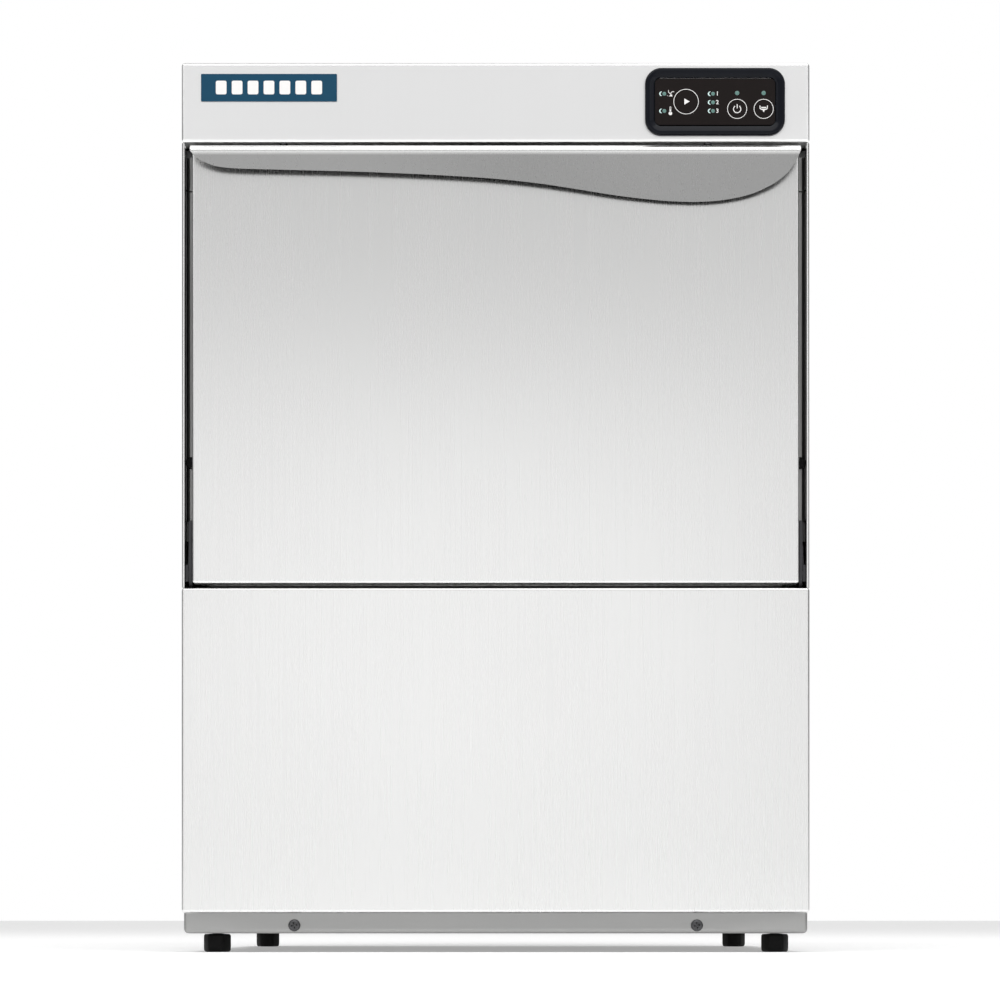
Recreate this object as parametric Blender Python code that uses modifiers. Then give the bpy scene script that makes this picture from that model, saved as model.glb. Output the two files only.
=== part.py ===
"""Front-loading under-counter commercial dishwasher with a drop-down door.

Metres, +Z up, front towards -Y, origin on the floor at the centre of the footprint.
Every separate piece of the machine is its own object. The pieces that turn or slide hang
from empties that stand on their joint's axis.
"""

import math

import bmesh
import bpy
from mathutils import Matrix, Vector

# ---------------------------------------------------------------- driving dimensions
WIDTH = 0.600
HEIGHT = 0.850
FRONT_Y = -0.285  # outer face of door, fascia and lower panel
BACK_Y = 0.285  # outer face of the rear panel
REACH = 0.015  # how far the handle and the rear connections stand proud
SHEET = 0.0012
GAP = 0.0003  # kept between pieces that touch
PLAY = 0.0005  # round a pin, stud or button in its hole
OVERCUT = 0.002  # how far a cutter runs past the faces that it cuts

FOOT_HEIGHT = 0.0178
BASE_BOTTOM = FOOT_HEIGHT + GAP
PANEL_BOTTOM = 0.0380
PANEL_TOP = 0.3484
DOOR_BOTTOM = 0.3527
DOOR_TOP = 0.7664  # top of the handle's flange
FASCIA_BOTTOM = 0.7738

HINGE_Y = FRONT_Y + 0.008
HINGE_Z = DOOR_BOTTOM + 0.010
DOOR_HALF = 0.290
DOOR_BACK_Y = -0.2625
FRAME_Y = -0.2580  # face of the front frame that the gasket meets

CHAMBER_HALF = 0.262  # inside the wash chamber
CHAMBER_BACK_Y = 0.255
CHAMBER_BOTTOM = 0.3520
CHAMBER_TOP = 0.7680
OPENING_BOTTOM = 0.3790
OPENING_TOP = 0.7490

SUMP_Z = 0.2500  # inside of the tank's flat bottom
SUCTION_Y = 0.110
PUMP_Z = 0.125

HALF = WIDTH / 2
X, Y, Z = Vector((1, 0, 0)), Vector((0, 1, 0)), Vector((0, 0, 1))

# ---------------------------------------------------------------- scene and materials
for item in list(bpy.data.objects):
    bpy.data.objects.remove(item)

MACHINE = bpy.data.collections.new("dishwasher")
CUTTERS = bpy.data.collections.new("cutters")
for group in (MACHINE, CUTTERS):
    bpy.context.scene.collection.children.link(group)


def material(name, colour, roughness, metallic=0.0):
    made = bpy.data.materials.new(name)
    made.use_nodes = True
    shader = made.node_tree.nodes["Principled BSDF"]
    shader.inputs["Base Color"].default_value = (*colour, 1)
    shader.inputs["Roughness"].default_value = roughness
    shader.inputs["Metallic"].default_value = metallic
    return made


BRUSHED = material("brushed_stainless", (0.72, 0.72, 0.71), 0.32, 1.0)
SATIN = material("chamber_stainless", (0.62, 0.62, 0.61), 0.25, 1.0)
ZINC = material("zinc_plated_steel", (0.48, 0.49, 0.50), 0.45, 1.0)
SPRING_STEEL = material("spring_steel", (0.30, 0.30, 0.31), 0.35, 1.0)
BRASS = material("brass", (0.70, 0.52, 0.26), 0.35, 1.0)
MOTOR_PAINT = material("motor_paint", (0.10, 0.11, 0.12), 0.5)
BLACK_GLOSS = material("black_gloss_plastic", (0.010, 0.011, 0.014), 0.15)
BLACK_FILM = material("overlay_film", (0.012, 0.008, 0.008), 0.4)
BLACK_PLASTIC = material("black_plastic", (0.012, 0.012, 0.013), 0.5)
GREY_PLASTIC = material("grey_polypropylene", (0.32, 0.33, 0.34), 0.45)
BLUE_BADGE = material("blue_badge", (0.012, 0.060, 0.110), 0.4)
LENS = material("light_guide_acrylic", (0.36, 0.50, 0.46), 0.2)
BOARD_GREEN = material("board_green", (0.02, 0.12, 0.05), 0.5)
RUBBER = material("rubber", (0.020, 0.020, 0.021), 0.7)


# ---------------------------------------------------------------- modelling tools
def finish(name, bm, mat, location, parent, group=None):
    """Makes an object of a bmesh whose points are relative to location."""
    bmesh.ops.recalc_face_normals(bm, faces=bm.faces)
    mesh = bpy.data.meshes.new(name)
    bm.to_mesh(mesh)
    bm.free()
    made = bpy.data.objects.new(name, mesh)
    (group or MACHINE).objects.link(made)
    made.parent = parent
    anchor = parent.location if parent else Vector()
    made.location = Vector(location) - anchor
    if mat:
        mesh.materials.append(mat)
    return made


def from_curve(name, curve, mat, location, parent, rotation=None):
    """Turns a curve into a mesh with welded caps, since a curve can't be cut or joined."""
    source = bpy.data.objects.new(name + "_curve", curve)
    bpy.context.scene.collection.objects.link(source)
    bpy.context.view_layer.update()
    graph = bpy.context.evaluated_depsgraph_get()
    mesh = bpy.data.meshes.new_from_object(source.evaluated_get(graph))
    bpy.data.objects.remove(source)
    bm = bmesh.new()
    bm.from_mesh(mesh)
    bmesh.ops.remove_doubles(bm, verts=bm.verts, dist=1e-6)
    if rotation:
        bmesh.ops.transform(bm, matrix=rotation, verts=bm.verts)
    bpy.data.meshes.remove(mesh)
    return finish(name, bm, mat, location, parent)


def box(name, low, high, mat=None, parent=None, bevel=0.0, segments=2):
    """A block between two corners, its long edges rounded where bevel is given."""
    low, high = Vector(low), Vector(high)
    bm = bmesh.new()
    bmesh.ops.create_cube(bm, size=1)
    bmesh.ops.scale(bm, vec=high - low, verts=bm.verts)
    if bevel:
        bmesh.ops.bevel(bm, geom=bm.edges, offset=bevel, segments=segments, affect="EDGES", profile=0.5)
    return finish(name, bm, mat, (low + high) / 2, parent)


def turn_to(axis):
    """The rotation that carries +Z to axis."""
    return axis.to_track_quat("Z", "Y").to_matrix().to_4x4()


def cylinder(name, start, axis, length, radius, mat=None, parent=None, sides=24, bevel=0.0):
    """A cylinder from start, running length along axis."""
    bm = bmesh.new()
    bmesh.ops.create_cone(bm, cap_ends=True, segments=sides, radius1=radius, radius2=radius, depth=length)
    if bevel:
        rims = [e for e in bm.edges if abs(e.verts[0].co.z - e.verts[1].co.z) < 1e-9]
        bmesh.ops.bevel(bm, geom=rims, offset=bevel, segments=2, affect="EDGES", profile=0.5)
    bmesh.ops.transform(bm, matrix=turn_to(axis), verts=bm.verts)
    return finish(name, bm, mat, Vector(start) + axis * length / 2, parent)


def sheet_box(name, low, high, open_sides, mat, parent=None, bend=0.002, thickness=SHEET, outward=False):
    """A folded sheet: the sides of a block, left open where open_sides points, bends rounded."""
    low, high = Vector(low), Vector(high)
    bm = bmesh.new()
    bmesh.ops.create_cube(bm, size=1)
    bmesh.ops.scale(bm, vec=high - low, verts=bm.verts)
    bm.normal_update()
    gone = [f for f in bm.faces if any(f.normal.dot(side) > 0.9 for side in open_sides)]
    bmesh.ops.delete(bm, geom=gone, context="FACES")
    folds = [e for e in bm.edges if len(e.link_faces) == 2]
    if folds and bend:
        bmesh.ops.bevel(bm, geom=folds, offset=bend, segments=3, affect="EDGES", profile=0.5)
    made = finish(name, bm, mat, (low + high) / 2, parent)
    face_out(made)
    solidify(made, thickness, outward)
    return made


def face_out(made, rank=lambda face: face.calc_area(), way=None):
    """Turns an open sheet so that its widest face, or the one that rank puts first, looks outwards.

    Outwards is along way, or away from the sheet's middle, so that Solidify knows its inside.
    """
    bm = bmesh.new()
    bm.from_mesh(made.data)
    bm.normal_update()
    chosen = max(bm.faces, key=rank)
    if chosen.normal.dot(way or chosen.calc_center_median()) < 0:
        bmesh.ops.reverse_faces(bm, faces=bm.faces)
    bm.to_mesh(made.data)
    bm.free()


def solidify(made, thickness, outward=False):
    shell = made.modifiers.new("sheet", "SOLIDIFY")
    shell.thickness = thickness
    shell.offset = 1.0 if outward else -1.0
    shell.use_even_offset = True


def rounded_rectangle(width, height, radius, steps=5):
    """Corner points of a rectangle centred on zero with round corners."""
    points = []
    for corner in range(4):
        sign_x = 1 if corner in (0, 3) else -1
        sign_y = 1 if corner in (0, 1) else -1
        centre_x = sign_x * (width / 2 - radius)
        centre_y = sign_y * (height / 2 - radius)
        for step in range(steps + 1):
            angle = math.pi / 2 * (corner + step / steps)
            points.append((centre_x + radius * math.cos(angle), centre_y + radius * math.sin(angle)))
    return points


def circle(x, y, radius, sides=24):
    turns = [2 * math.pi * k / sides for k in range(sides)]
    return [(x + radius * math.cos(a), y + radius * math.sin(a)) for a in turns]


FACING = {
    "front": Matrix.Rotation(math.radians(90), 4, "X"),  # outline x, y becomes x, z
    "up": Matrix.Identity(4),
    "side": Matrix.Rotation(math.radians(90), 4, "Z") @ Matrix.Rotation(math.radians(90), 4, "X"),
}


def plate(name, outlines, thickness, facing, location, mat=None, parent=None):
    """A flat plate centred on its thickness: the first outline is its edge, the rest are holes.

    facing "front" draws in X and Z, "up" in X and Y, and "side" in Y and Z.
    """
    curve = bpy.data.curves.new(name, "CURVE")
    curve.dimensions = "2D"
    curve.fill_mode = "BOTH"
    curve.extrude = thickness / 2
    for outline in outlines:
        spline = curve.splines.new("POLY")
        spline.points.add(len(outline) - 1)
        for point, (a, b) in zip(spline.points, outline):
            point.co = (a, b, 0, 1)
        spline.use_cyclic_u = True
    return from_curve(name, curve, mat, location, parent, FACING[facing])


def rounded_path(corners, radius, steps=5):
    """A path through corner points whose turns are arcs of about the given radius."""
    corners = [Vector(c) for c in corners]
    path = [corners[0]]
    for before, corner, after in zip(corners, corners[1:], corners[2:]):
        entry = corner + (before - corner).normalized() * radius
        leave = corner + (after - corner).normalized() * radius
        for step in range(steps + 1):
            t = step / steps
            path.append(entry.lerp(corner, t).lerp(corner.lerp(leave, t), t))
    path.append(corners[-1])
    return path


def tube(name, path, radius, mat=None, parent=None, resolution=2):
    """A round bar or pipe along a path."""
    curve = bpy.data.curves.new(name, "CURVE")
    curve.dimensions = "3D"
    curve.bevel_depth = radius
    curve.bevel_resolution = resolution
    curve.use_fill_caps = True
    spline = curve.splines.new("POLY")
    spline.points.add(len(path) - 1)
    origin = Vector(path[0])
    for point, place in zip(spline.points, path):
        point.co = (*(Vector(place) - origin), 1)
    return from_curve(name, curve, mat, origin, parent)


def turned(name, profile, origin, axis=Z, mat=None, parent=None, sides=24):
    """A turned piece. The profile is (radius, height) pairs, down the outer side from the top."""
    bm = bmesh.new()
    verts = [bm.verts.new((r, 0, h)) for r, h in profile]
    for a, b in zip(verts, verts[1:]):
        bm.edges.new((a, b))
    mesh = bpy.data.meshes.new(name)
    bm.to_mesh(mesh)
    bm.free()
    made = bpy.data.objects.new(name, mesh)
    MACHINE.objects.link(made)
    made.parent = parent
    made.location = Vector(origin) - (parent.location if parent else Vector())
    made.rotation_mode = "QUATERNION"
    made.rotation_quaternion = axis.to_track_quat("Z", "Y")
    if mat:
        mesh.materials.append(mat)
    spin = made.modifiers.new("turn", "SCREW")
    spin.steps = sides
    spin.render_steps = sides
    spin.use_merge_vertices = True
    spin.merge_threshold = 0.00001
    spin.use_smooth_shade = True
    return made


def combine(target, operation, *others):
    """Adds others to target, or cuts them from it, keeping them as hidden helpers."""
    for other in others:
        if target.parent and not other.parent:
            other.parent = target.parent
            other.location = other.location - target.parent.location
        for holder in list(other.users_collection):
            holder.objects.unlink(other)
        CUTTERS.objects.link(other)
        other.hide_render = True
        other.display_type = "WIRE"
        step = target.modifiers.new(operation.lower() + "_" + other.name, "BOOLEAN")
        step.operation = operation
        step.object = other
        step.solver = "EXACT"
    return target


def cut(target, *others):
    return combine(target, "DIFFERENCE", *others)


def join(target, *others):
    return combine(target, "UNION", *others)


def joint_empty(name, location):
    made = bpy.data.objects.new(name, None)
    MACHINE.objects.link(made)
    made.location = location
    return made


def curve_through(points, steps):
    """A smooth Catmull-Rom curve through 2D points."""
    padded = [Vector(points[0]) * 2 - Vector(points[1])]
    padded += [Vector(p) for p in points]
    padded.append(Vector(points[-1]) * 2 - Vector(points[-2]))
    path = []
    for p0, p1, p2, p3 in zip(padded, padded[1:], padded[2:], padded[3:]):
        for step in range(steps):
            t = step / steps
            path.append(
                ((2 * p1) + (p2 - p0) * t + (2 * p0 - 5 * p1 + 4 * p2 - p3) * t**2
                 + (3 * p1 - p0 - 3 * p2 + p3) * t**3) / 2
            )
    path.append(padded[-2])
    return [tuple(p) for p in path]


SIDES = (("left", -1), ("right", 1))

# ---------------------------------------------------------------- base and feet
BASE_HALF = HALF - 0.0015
BASE_FRONT_Y = FRONT_Y + 0.004
BASE_SHEET = 0.0015
TRAY_FLOOR = BASE_BOTTOM + BASE_SHEET + GAP  # where things stand in the tray
FOOT_X, FOOT_Y = 0.2704, 0.2450
FOOT_RADIUS = 0.0132
STUD_RADIUS = 0.005
STUD_LENGTH = 0.026
STUD_ROOT = 0.004  # how far the stud is set into the foot


def make_base():
    base = sheet_box(
        "base_tray",
        (-BASE_HALF, BASE_FRONT_Y, BASE_BOTTOM),
        (BASE_HALF, BACK_Y - GAP, PANEL_BOTTOM - GAP),
        (Z,), BRUSHED, bend=0.004, thickness=BASE_SHEET,
    )
    depth = BASE_SHEET + 2 * OVERCUT
    for row, y in (("front", -FOOT_Y), ("rear", FOOT_Y)):
        for side, sign in SIDES:
            spot = (sign * FOOT_X, y, BASE_BOTTOM - OVERCUT)
            cut(base, cylinder(f"stud_hole_{row}_{side}", spot, Z, depth, STUD_RADIUS + PLAY, sides=12))
            make_foot(f"foot_{row}_{side}", sign * FOOT_X, y)


def make_foot(name, x, y):
    """A hexagonal levelling foot on a stud that screws into the base."""
    foot = cylinder(name, (x, y, 0), Z, FOOT_HEIGHT, FOOT_RADIUS, BLACK_PLASTIC, sides=6, bevel=0.0012)
    stud = cylinder(name + "_stud", (x, y, FOOT_HEIGHT - STUD_ROOT), Z, STUD_LENGTH, STUD_RADIUS, sides=12)
    join(foot, stud)


# ---------------------------------------------------------------- outer casing
WRAP = 0.012  # how far the lower panel's sides wrap back
FASCIA_DEPTH = 0.020
COVER_SKIRT = 0.012
SIDE_FRONT_Y = FRONT_Y + 0.002
HEM, HEM_BEND = 0.0026, 0.0022
BACK_FLANGE = 0.0150


def make_side_panel(side, sign):
    """A flat side with a rounded hem beside the door and a flange at the back."""
    low = PANEL_BOTTOM
    high = HEIGHT - COVER_SKIRT - GAP
    outline = [
        (FRONT_Y + WRAP + GAP, low),
        (BACK_Y, low),
        (BACK_Y, high),
        (FRONT_Y + FASCIA_DEPTH + GAP, high),
        (FRONT_Y + FASCIA_DEPTH + GAP, FASCIA_BOTTOM - GAP),
        (SIDE_FRONT_Y, FASCIA_BOTTOM - GAP),
        (SIDE_FRONT_Y, PANEL_TOP + GAP),
        (FRONT_Y + WRAP + GAP, PANEL_TOP + GAP),
    ]
    bm = bmesh.new()
    corners = [bm.verts.new((0, y, z)) for y, z in outline]
    bm.faces.new(corners)
    folds = ((corners[5], corners[6], HEM, HEM_BEND), (corners[1], corners[2], BACK_FLANGE, 0.002))
    for a, b, depth, radius in folds:
        edge = bm.edges.get((a, b))
        new = bmesh.ops.extrude_edge_only(bm, edges=[edge])["geom"]
        tips = [v for v in new if isinstance(v, bmesh.types.BMVert)]
        bmesh.ops.translate(bm, vec=(-sign * depth, 0, 0), verts=tips)
        bmesh.ops.bevel(bm, geom=[edge], offset=radius, segments=3, affect="EDGES", profile=0.5)
    panel = finish("side_panel_" + side, bm, BRUSHED, (sign * HALF, 0, 0), None)
    face_out(panel, way=X * sign)
    solidify(panel, SHEET)


PORT_RADIUS, GLAND_RADIUS = 0.0145, 0.0125  # holes for the two connections and the gland
VENT = (0.110, 0.006, 0.0025)  # width, height and corner radius of a vent slot
VENT_X, VENT_Z = 0.150, 0.240
VENT_ROWS, VENT_PITCH = 5, 0.016


def make_back_panel():
    low, high = PANEL_BOTTOM, HEIGHT - COVER_SKIRT - GAP
    half = HALF - BACK_FLANGE - GAP
    middle = (low + high) / 2
    outline = [(-half, low - middle), (half, low - middle), (half, high - middle), (-half, high - middle)]
    holes = [circle(INLET_X, INLET_Z - middle, PORT_RADIUS), circle(DRAIN_X, DRAIN_Z - middle, PORT_RADIUS)]
    holes.append(circle(GLAND_X, GLAND_Z - middle, GLAND_RADIUS))
    slot = rounded_rectangle(*VENT, steps=1)
    for row in range(VENT_ROWS):
        rise = VENT_Z - middle + row * VENT_PITCH
        for _, sign in SIDES:
            holes.append([(a + sign * VENT_X, b + rise) for a, b in slot])
    plate("back_panel", [outline, *holes], SHEET, "front", (0, BACK_Y - SHEET / 2, middle), ZINC)


def make_top_cover():
    sheet_box(
        "top_cover",
        (-HALF, FRONT_Y + FASCIA_DEPTH + GAP, HEIGHT - COVER_SKIRT),
        (HALF, BACK_Y, HEIGHT),
        (-Z, -Y), BRUSHED,
    )


NOTCH_PLAY = 0.0006


def make_lower_panel():
    panel = sheet_box(
        "lower_front_panel", (-HALF, FRONT_Y, PANEL_BOTTOM), (HALF, FRONT_Y + WRAP, PANEL_TOP), (Y,),
        BRUSHED, bend=0.0028,
    )
    for side, sign in SIDES:
        inner, outer = sorted((sign * (ARM_INNER - NOTCH_PLAY), sign * (BRACKET_OUTER + NOTCH_PLAY)))
        low = (inner, FRONT_Y + SHEET + OVERCUT, PANEL_TOP - SHEET - OVERCUT)
        high = (outer, FRONT_Y + WRAP + OVERCUT, PANEL_TOP + OVERCUT)
        cut(panel, box("lever_notch_" + side, low, high))


SCREW_X = 0.1925
SCREW_Z = 0.0258
HEAD_RADIUS = 0.0058
SHANK_RADIUS = 0.0021
CROSS_REACH, CROSS_HALF = 0.0030, 0.0006
CROSS_FLOOR, CROSS_TOP = 0.0014, 0.0040  # over the screw's seat


def make_panel_screw(side, sign):
    """A pan-head screw with a cross recess, through the base tray's front flange."""
    x = sign * SCREW_X
    seat = BASE_FRONT_Y - GAP
    profile = [(0, 0.0030), (0.0022, 0.0029), (0.0042, 0.0023), (0.0055, 0.0012), (HEAD_RADIUS, 0.0002),
               (HEAD_RADIUS, 0), (SHANK_RADIUS, 0), (SHANK_RADIUS, -0.0120), (0.0008, -0.0140), (0, -0.0140)]
    screw = turned("panel_screw_" + side, profile, (x, seat, SCREW_Z), -Y, ZINC, sides=16)
    for name, across, upright in (("flat", CROSS_REACH, CROSS_HALF), ("tall", CROSS_HALF, CROSS_REACH)):
        low = (x - across, seat - CROSS_TOP, SCREW_Z - upright)
        high = (x + across, seat - CROSS_FLOOR, SCREW_Z + upright)
        cut(screw, box(f"cross_{name}_{side}", low, high))
    start = (x, BASE_FRONT_Y - OVERCUT, SCREW_Z)
    depth = BASE_SHEET + 2 * OVERCUT
    hole = cylinder(f"screw_hole_{side}", start, Y, depth, SHANK_RADIUS + PLAY, sides=12)
    cut(bpy.data.objects["base_tray"], hole)


# ---------------------------------------------------------------- control panel
PANEL_X, PANEL_Z = 0.2094, 0.8117
BEZEL = (0.1337, 0.0645, 0.0155)  # width, height and corner radius
BEZEL_DEPTH = 0.0043
WINDOW = (0.1154, 0.0446, 0.0045)  # the hole through the bezel
BUTTONS = {
    "start_button": (0.1818, 0.8118, 0.0110),
    "power_button": (0.2305, 0.8049, 0.0084),
    "drain_button": (0.2558, 0.8049, 0.0084),
}
LEFT_LIGHTS_X, MIDDLE_LIGHTS_X = 0.1596, 0.2060
LIGHTS = [
    (LEFT_LIGHTS_X, 0.8193), (LEFT_LIGHTS_X, 0.8029),
    (MIDDLE_LIGHTS_X, 0.8193), (MIDDLE_LIGHTS_X, 0.8111), (MIDDLE_LIGHTS_X, 0.8029),
    (0.2305, 0.8200), (0.2558, 0.8200),
]
LIGHT_RADIUS = 0.0021
LEDGE = 0.0006  # the fascia's window stands back from the bezel's by this all round
OVERLAY_FRONT_Y = FRONT_Y - 0.0018
OVERLAY_BACK_Y = FRONT_Y + 0.0017
BUTTON_FRONT_Y = OVERLAY_FRONT_Y - 0.0003
BUTTON_TRAVEL = 0.0008
CAP_THICKNESS = 0.0030
PLUNGER_RADIUS = 0.0030
PLUNGER_END = 0.0076  # from the button's front
BOARD_Y = FRONT_Y + 0.0087
BOARD_THICKNESS = 0.0016


def make_fascia():
    fascia = sheet_box(
        "control_fascia",
        (-HALF, FRONT_Y, FASCIA_BOTTOM),
        (HALF, FRONT_Y + FASCIA_DEPTH, HEIGHT),
        (Y,), BRUSHED, bend=0.003,
    )
    width, height, radius = WINDOW
    window = rounded_rectangle(width + 2 * LEDGE, height + 2 * LEDGE, radius, steps=3)
    cut(fascia, plate("window_cut", [window], 0.010, "front", (PANEL_X, FRONT_Y, PANEL_Z)))


def make_controls():
    middle_y = FRONT_Y - GAP - BEZEL_DEPTH / 2
    bezel = plate(
        "control_bezel", [rounded_rectangle(*BEZEL), rounded_rectangle(*WINDOW, steps=3)],
        BEZEL_DEPTH, "front", (PANEL_X, middle_y, PANEL_Z), BLACK_GLOSS,
    )
    soften(bezel, 0.0012)

    width, height, radius = WINDOW
    holes = []
    for x, z, size in BUTTONS.values():
        holes.append(circle(x - PANEL_X, z - PANEL_Z, size + PLAY))
    for x, z in LIGHTS:
        holes.append(circle(x - PANEL_X, z - PANEL_Z, LIGHT_RADIUS + GAP, sides=10))
    edge = rounded_rectangle(width - 2 * GAP, height - 2 * GAP, radius, steps=3)
    thickness = OVERLAY_BACK_Y - OVERLAY_FRONT_Y
    middle_y = (OVERLAY_FRONT_Y + OVERLAY_BACK_Y) / 2
    plate("control_overlay", [edge, *holes], thickness, "front", (PANEL_X, middle_y, PANEL_Z), BLACK_FILM)

    for name, (x, z, size) in BUTTONS.items():
        slide = joint_empty(name + "_slide", (x, BUTTON_FRONT_Y, z))
        cap = cylinder(name, (x, BUTTON_FRONT_Y, z), Y, CAP_THICKNESS, size, BLACK_FILM, slide)
        root = CAP_THICKNESS - PLAY
        start = (x, BUTTON_FRONT_Y + root, z)
        join(cap, cylinder(name + "_plunger", start, Y, PLUNGER_END - root, PLUNGER_RADIUS, sides=12))


GUIDE_HALF = 0.0027  # half the width of the light guide's bars
GUIDE_OFFSET = 0.0001  # keeps the legs' faces off the bar's


def make_light_guide():
    """One clear moulding: a backing bar and two legs, with a pin for each indicator."""
    low_y, high_y = OVERLAY_BACK_Y + GAP, OVERLAY_BACK_Y + 0.0020
    across = [x for x, _ in LIGHTS]
    upper = max(z for _, z in LIGHTS)
    lower = min(z for _, z in LIGHTS)
    low = (min(across) - GUIDE_HALF, low_y, upper - GUIDE_HALF)
    bar = box("light_guide", low, (max(across) + GUIDE_HALF, high_y, upper + GUIDE_HALF), LENS)
    for x in (LEFT_LIGHTS_X, MIDDLE_LIGHTS_X):
        low = (x - GUIDE_HALF + GUIDE_OFFSET, low_y + GUIDE_OFFSET, lower - GUIDE_HALF)
        join(bar, box(f"guide_leg_{x}", low, (x + GUIDE_HALF, high_y + GUIDE_OFFSET, upper)))
    front = OVERLAY_FRONT_Y - GAP
    length = (low_y + high_y) / 2 - front
    for number, (x, z) in enumerate(LIGHTS):
        join(bar, cylinder(f"guide_pin_{number}", (x, front, z), Y, length, LIGHT_RADIUS, sides=10))


def make_board():
    """The circuit board, with a plain switch behind each button."""
    low_x, high_x, low_z, high_z = 0.1480, 0.2740, 0.7850, 0.8420
    low, high = (low_x, BOARD_Y, low_z), (high_x, BOARD_Y + BOARD_THICKNESS, high_z)
    board = box("control_board", low, high, BOARD_GREEN)
    front = BUTTON_FRONT_Y + PLUNGER_END + BUTTON_TRAVEL + GAP
    half = PLUNGER_RADIUS
    for name, (x, z, _) in BUTTONS.items():
        switch = box(name + "_switch", (x - half, front, z - half), (x + half, BOARD_Y + PLAY, z + half))
        join(board, switch)


BADGE = (0.1297, 0.0261, 0.0010)  # width, height and corner radius
BADGE_X, BADGE_Z = -0.2163, 0.8255
BADGE_THICKNESS = 0.0008


def make_nameplate():
    middle_y = FRONT_Y - GAP - BADGE_THICKNESS / 2
    edge = rounded_rectangle(*BADGE, steps=2)
    plate("nameplate", [edge], BADGE_THICKNESS, "front", (BADGE_X, middle_y, BADGE_Z), BLUE_BADGE)


def soften(made, width):
    """Rounds the rims of a plate that face the front."""
    rounding = made.modifiers.new("rounding", "BEVEL")
    rounding.width = width
    rounding.segments = 2
    rounding.limit_method = "ANGLE"
    rounding.angle_limit = math.radians(50)


# ---------------------------------------------------------------- wash chamber
FRAME_HALF = 0.2985
FRAME_FOOT_HALF = 0.2770  # narrower below the shoulder, clear of the hinge levers
FRAME_SHOULDER = 0.3960
FEED_HOLE = 0.0112


def make_chamber():
    low = (-CHAMBER_HALF, FRAME_Y + SHEET + GAP, CHAMBER_BOTTOM)
    high = (CHAMBER_HALF, CHAMBER_BACK_Y, CHAMBER_TOP)
    hood = sheet_box("chamber_hood", low, high, (-Y, -Z), SATIN, bend=0.015, outward=True)
    start = (0, 0, CHAMBER_TOP - OVERCUT)
    cut(hood, cylinder("upper_feed_hole", start, Z, SHEET + 2 * OVERCUT, FEED_HOLE))

    top = FASCIA_BOTTOM - GAP
    right = [(FRAME_FOOT_HALF, CHAMBER_BOTTOM), (FRAME_FOOT_HALF, FRAME_SHOULDER),
             (FRAME_HALF, FRAME_SHOULDER), (FRAME_HALF, top)]
    left = [(-x, z) for x, z in reversed(right)]
    middle = (OPENING_BOTTOM + OPENING_TOP) / 2
    edge = [(x, z - middle) for x, z in right + left]
    mouth = rounded_rectangle(2 * CHAMBER_HALF, OPENING_TOP - OPENING_BOTTOM, 0.014)
    plate("front_frame", [edge, mouth], SHEET, "front", (0, FRAME_Y + SHEET / 2, middle), SATIN)


TANK_RIM_Z = CHAMBER_BOTTOM - GAP
LEDGE_Z = 0.3430
TANK_HALF = 0.2500
TANK_STAGES = [  # half width, front, back and height of each step, from the rim down
    (0.2760, -0.2560, 0.2610, TANK_RIM_Z),
    (0.2570, -0.2480, 0.2500, TANK_RIM_Z),
    (0.2570, -0.2480, 0.2500, LEDGE_Z - SHEET),
    (TANK_HALF, -0.2410, 0.2430, LEDGE_Z - SHEET),
    (TANK_HALF, -0.2410, 0.2430, 0.3000),
    (0.0900, -0.0700, 0.1700, SUMP_Z),
]


def make_tank():
    """A pressed basin: rim flange, ledge for the filter, walls, sloping floor and flat sump."""
    bm = bmesh.new()
    bmesh.ops.create_grid(bm, x_segments=1, y_segments=1, size=0.5)
    floor = list(bm.faces)
    place_face(floor[0], *TANK_STAGES[0])
    for stage in TANK_STAGES[1:]:
        grown = bmesh.ops.extrude_face_region(bm, geom=floor)["geom"]
        bmesh.ops.delete(bm, geom=floor, context="FACES_ONLY")
        floor = [f for f in grown if isinstance(f, bmesh.types.BMFace)]
        place_face(floor[0], *stage)
    tank = finish("wash_tank", bm, SATIN, (0, 0, 0), None)
    face_out(tank, rank=lambda face: -face.calc_center_median().z, way=Z)
    solidify(tank, SHEET)
    depth = SHEET + 2 * OVERCUT
    for name, y, radius in (("post_hole", 0, 0.0140), ("suction_hole", SUCTION_Y, 0.0160)):
        cut(tank, cylinder(name, (0, y, SUMP_Z - SHEET - OVERCUT), Z, depth, radius))
    for number, y in enumerate(HEATER_LEGS_Y):
        start = (TANK_HALF - OVERCUT, y, HEATER_Z)
        cut(tank, cylinder(f"heater_hole_{number}", start, X, depth, HEATER_RADIUS + PLAY))


def place_face(face, half_width, front_y, back_y, z):
    """Moves a four-cornered face's corners out to a rectangle at height z."""
    centre = face.calc_center_median()
    for vert in face.verts:
        vert.co.x = half_width if vert.co.x > centre.x else -half_width
        vert.co.y = back_y if vert.co.y > centre.y else front_y
        vert.co.z = z


HEATER_LEGS_Y = (-0.150, -0.090)
HEATER_Z = 0.320
HEATER_RADIUS = 0.004
HEATER_TURN_X, HEATER_END_X = -0.190, 0.269
FILTER_THICKNESS = 0.0012
FILTER_MARGIN = 0.0015


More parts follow.
